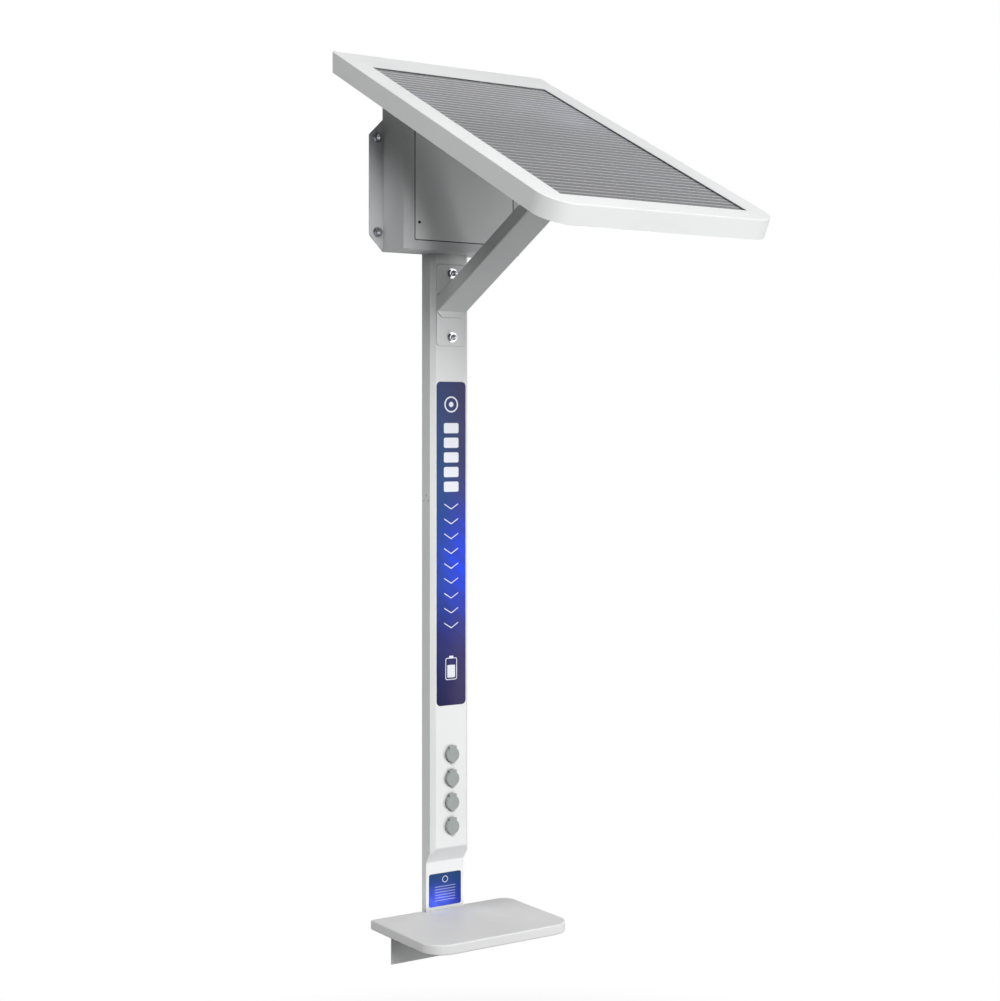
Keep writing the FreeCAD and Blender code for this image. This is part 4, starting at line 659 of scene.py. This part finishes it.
def roundedPath(halfAcross, halfUp, corner, step):
    # once round a rectangle with rounded corners: columns of its points and of their outward normals;
    # each corner is a quarter circle in steps of so many degrees, about its own centre
    turns = np.radians(np.arange(0, 360, step)).reshape(4, -1)
    turns = np.hstack([turns, turns[:, -1:] + math.radians(step)])
    centreAcross = np.array([1, -1, -1, 1])[:, None] * (halfAcross - corner)
    centreUp = np.array([1, 1, -1, -1])[:, None] * (halfUp - corner)
    across, up = centreAcross + corner * np.cos(turns), centreUp + corner * np.sin(turns)
    return [values.ravel()[:, None] for values in (across, up, np.cos(turns), np.sin(turns))]


# black seal between the opening's edge and the glass
seal = {"half": 0.228, "rear": 0.096, "front": 0.879, "glassTop": -0.0025, "width": 0.0013, "height": 0.0012,
        "corner": 0.003, "step": 11.25, "points": 14, "fullness": 0.6, "sunk": 0.00005}


def onPanel(across, down, lift):
    # a point of the leaning panel: across it, down its slope, and above its top face
    lean = math.radians(cells["tilt"])
    return np.stack([across, -down * math.cos(lean) - lift * math.sin(lean),
                     cells["rear"] - down * math.sin(lean) + lift * math.cos(lean)], -1)


def makeSeal():
    # the profile, half an oval standing on the glass, goes once round a rectangle with rounded corners;
    # a point's distance from the path moves it inward along the path's own normal
    pathX, pathY, normalX, normalY = roundedPath(seal["half"], (seal["front"] - seal["rear"]) / 2,
                                                 seal["corner"], seal["step"])
    profile = np.linspace(0, 2 * math.pi, seal["points"], endpoint=False)
    inward = seal["width"] / 2 * (1 - np.cos(profile))
    bulge = np.maximum(np.sin(profile), 0) ** seal["fullness"]
    lift = seal["glassTop"] + seal["height"] * bulge - seal["sunk"]
    across = pathX - inward * normalX
    down = (seal["rear"] + seal["front"]) / 2 + pathY - inward * normalY
    rows = onPanel(across, down, np.broadcast_to(lift, across.shape))
    piece = layMesh("glazing_seal", rows, "post", materials["sealRubber"], closeRows=True)
    smoothBy(piece, 50)


# dark trim bead in the joint between the cabinet's cover and its shell
bead = {"gap": 0.0012, "half": 0.0011, "proud": 0.0004, "corner": 0.0036, "step": 15.0, "points": 12}


def makeBead():
    # an oval profile goes once round the cover's outline, which is its box with rounded corners
    low, high = (np.array(corner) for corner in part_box("cabinet_cover"))
    middle, half = (low + high) / 2, (high - low) / 2 + bead["gap"] / 2
    pathX, pathZ, normalX, normalZ = roundedPath(half[0], half[2], bead["corner"], bead["step"])
    around = np.linspace(0, 2 * math.pi, bead["points"], endpoint=False)
    outward, forward = bead["half"] * np.cos(around), bead["proud"] * np.sin(around)
    rows = np.stack([middle[0] + pathX + outward * normalX,
                     np.broadcast_to(low[1] - forward, (len(pathX), bead["points"])),
                     middle[2] + pathZ + outward * normalZ], -1)
    piece = layMesh("cover_joint_bead", rows, "post", materials["sealRubber"], closeRows=True)
    smoothBy(piece, 60)


# threaded wall studs: a screw thread on the tail, a plain neck through the plate into the nut
studs = {"across": 0.168, "up": 0.105, "radius": 0.005, "neck": 0.0045, "tail": 0.020, "front": 0.013,
         "pitch": 0.0015, "depth": 0.00086, "chamfer": 0.0011, "around": 40, "along": 120,
         "steepness": 1.3, "crestCut": 0.15, "seatDrop": 0.0004, "seatSlope": 0.5, "tip": 0.0006}


def makeStuds():
    # radius over height and turn: a triangle wave of height minus turn, as a thread climbs one pitch a turn;
    # the tail's end is chamfered and its start narrows into the plate
    turn = np.linspace(0, 2 * math.pi, studs["around"], endpoint=False)[None, :]
    tail = np.linspace(0.0, studs["tail"], studs["along"])[:, None]
    wave = np.abs(2 * ((tail / studs["pitch"] - turn / (2 * math.pi)) % 1) - 1)
    groove = np.clip(wave * studs["steepness"] - studs["crestCut"], 0, 1)
    crest = studs["radius"] - studs["depth"] * groove
    edge = studs["radius"] - studs["chamfer"] + (studs["tail"] - tail)
    seat = studs["radius"] - studs["seatDrop"] + tail * studs["seatSlope"]
    threaded = np.minimum(np.minimum(crest, edge), seat)
    necks = np.array([-studs["front"], -studs["front"] + studs["tip"], -0.00001])
    slim = np.array([studs["neck"] - studs["tip"], studs["neck"], studs["neck"]])
    radius = np.vstack([np.repeat(slim[:, None], studs["around"], 1), threaded])
    height = np.vstack([np.repeat(necks[:, None], studs["around"], 1), np.repeat(tail, studs["around"], 1)])
    made = []
    for side in (-1, 1):
        for level in (-1, 1):
            rows = np.stack([side * studs["across"] + radius * np.sin(turn), height,
                             level * studs["up"] + radius * np.cos(turn)], -1)
            made.append(layMesh("stud", rows, "post", materials["zincSteel"], closeEnds=True))
    piece = joinPieces("wall_stud_threads", made)
    smoothBy(piece, 35)
    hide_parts("wall_studs")


makeSeal()
makeBead()
makeStuds()
print("seal, bead and studs built")


# ---- studio: pale floor that shades off into white, soft lamps, the photograph's viewpoint

studio = {
    "floorHeight": -2.3, "floorReach": 14.0, "floorMiddle": (0, -0.25), "floorRings": 40, "floorAround": 96,
    "floorTone": (238, 238, 238), "patchTone": (232, 232, 233), "patchScale": 1.3,
    "patchSpan": (0.3, 0.7, 0.0, 0.25), "bounceTone": (70, 70, 70), "plain": (0.7, 1.9),
    "ambient": 0.03, "ambientTone": (255, 255, 255), "roomSpan": (0.5, -0.2), "roomGlow": (0.35, 1.0),
}


def seenRays(tree, ray):
    # 1 for rays from the camera, from reflections and through glass, 0 for soft light
    indirect = sums(tree, "MAXIMUM", ray["Is Glossy Ray"], ray["Is Transmission Ray"])
    return sums(tree, "MAXIMUM", ray["Is Camera Ray"], indirect)


def makeFloor():
    # a round sheet: rings of growing radius about the foot of the post
    rings, around = studio["floorRings"], studio["floorAround"]
    turn = np.linspace(0, 2 * math.pi, around, endpoint=False)[None, :]
    reach = studio["floorReach"] * np.linspace(0.002, 1, rings)[:, None] ** 2
    level = np.full((rings, around), studio["floorHeight"])
    rows = np.stack([reach * np.cos(turn), reach * np.sin(turn), level], -1)
    material, tree, shader = openMaterial("paleFloor", Roughness=0.85, Specular_IOR_Level=0.2)
    where = position(tree)
    ray = put(tree, "LightPath").outputs
    patches = ramp(tree, noise(tree, where, studio["patchScale"], 3), *studio["patchSpan"])
    colour = blendColours(tree, patches, tone(*studio["floorTone"]), tone(*studio["patchTone"]))
    # little of its light comes back up, so the undersides keep their shade
    colour = blendColours(tree, ray["Is Diffuse Ray"], colour, tone(*studio["bounceTone"]))
    tree.links.new(colour, shader.inputs["Base Color"])
    middle = (*studio["floorMiddle"], studio["floorHeight"])
    away = put(tree, "VectorMath", {0: where, 1: middle}, operation="DISTANCE")
    white = ramp(tree, away.outputs["Value"], *studio["plain"])
    glow = put(tree, "Emission", {"Color": (1, 1, 1, 1), "Strength": 1.0})
    share = sums(tree, "MULTIPLY", white, seenRays(tree, ray))
    mixed = put(tree, "MixShader", {0: share, 1: shader.outputs[0], 2: glow.outputs[0]})
    tree.links.new(mixed.outputs[0], tree.nodes["Material Output"].inputs["Surface"])
    floor = layMesh("floor", rows, "post", material)
    floor.parent = None


def makeSky():
    # white where it is seen, and a weak even light on everything else
    sky = bpy.data.worlds.new("paleStudio")
    sky.use_nodes = True
    tree = sky.node_tree
    tree.nodes.clear()
    ray = put(tree, "LightPath").outputs
    soft = put(tree, "Background", {"Color": tone(*studio["ambientTone"]), "Strength": studio["ambient"]})
    # polished metal reflects a room that is dim on the left and bright on the right
    toward = put(tree, "SeparateXYZ", {0: put(tree, "NewGeometry").outputs["Incoming"]}).outputs[0]
    room = ramp(tree, toward, *studio["roomSpan"], *studio["roomGlow"])
    bright = sums(tree, "MAXIMUM", room, ray["Is Camera Ray"])
    white = put(tree, "Background", {"Color": (1, 1, 1, 1), "Strength": bright})
    mixed = put(tree, "MixShader", {0: seenRays(tree, ray), 1: soft.outputs[0], 2: white.outputs[0]})
    end = put(tree, "OutputWorld")
    tree.links.new(mixed.outputs[0], end.inputs[0])
    bpy.context.scene.world = sky


# a lamp is 2.5 m across and aims at the middle of the post unless it says otherwise
lampPlain = {"aim": (0, -0.25, -0.8), "size": 2.5, "inGloss": False}
lamps = {
    "key": {"place": (-1.86, -5.36, 1.736), "power": 270.0},
    "lowFront": {"place": (3.0, -5.4, -0.277), "power": 54.0, "inGloss": True},
    "middleFront": {"place": (0, -6.046, 0.753), "power": 45.0},
    "rightSide": {"place": (5.977, -0.25, -0.277), "power": 88.0},
    "highLeft": {"place": (-2.8, -0.4, 4.498), "power": 104.0},
    "strutLow": {"place": (0.9, -1.5, -1.5), "aim": (0, -0.25, -0.2), "size": 0.6, "power": 7.4},
    "behind": {"place": (0, 5.5, 0.2), "power": 70.0},
    "lowLeft": {"place": (-1.9, 0.3, -2.0), "aim": (-0.05, -0.05, -1.5), "size": 1.0, "power": 8.0},
}


def makeLamps():
    for name, own in lamps.items():
        lamp = {**lampPlain, **own}
        data = bpy.data.lights.new(name, "AREA")
        data.shape = "DISK"
        data.size = lamp["size"]
        data.energy = lamp["power"]
        made = bpy.data.objects.new(name, data)
        bpy.context.scene.collection.objects.link(made)
        made.visible_camera = False
        made.visible_glossy = lamp["inGloss"]
        made.location = lamp["place"]
        away = np.array(lamp["place"]) - np.array(lamp["aim"])
        made.rotation_euler = (math.atan2(math.hypot(away[0], away[1]), away[2]), 0,
                               math.atan2(away[0], -away[1]))


viewpoint = {"place": (-2.1637, -3.4834, -0.5495), "level": 90, "turn": -33.73, "lens": 64.76,
             "sensor": 36.0, "shift": -0.0683, "farthest": 60.0}


def makeCamera():
    data = bpy.data.cameras.new("photoView")
    data.lens = viewpoint["lens"]
    data.sensor_width = viewpoint["sensor"]
    data.shift_y = viewpoint["shift"]
    data.clip_end = viewpoint["farthest"]
    made = bpy.data.objects.new("photoView", data)
    bpy.context.scene.collection.objects.link(made)
    made.location = viewpoint["place"]
    made.rotation_euler = (math.radians(viewpoint["level"]), 0, math.radians(viewpoint["turn"]))
    bpy.context.scene.camera = made


makeFloor()
makeSky()
makeLamps()
makeCamera()
bpy.context.scene.view_settings.view_transform = "Standard"
print("studio ready")
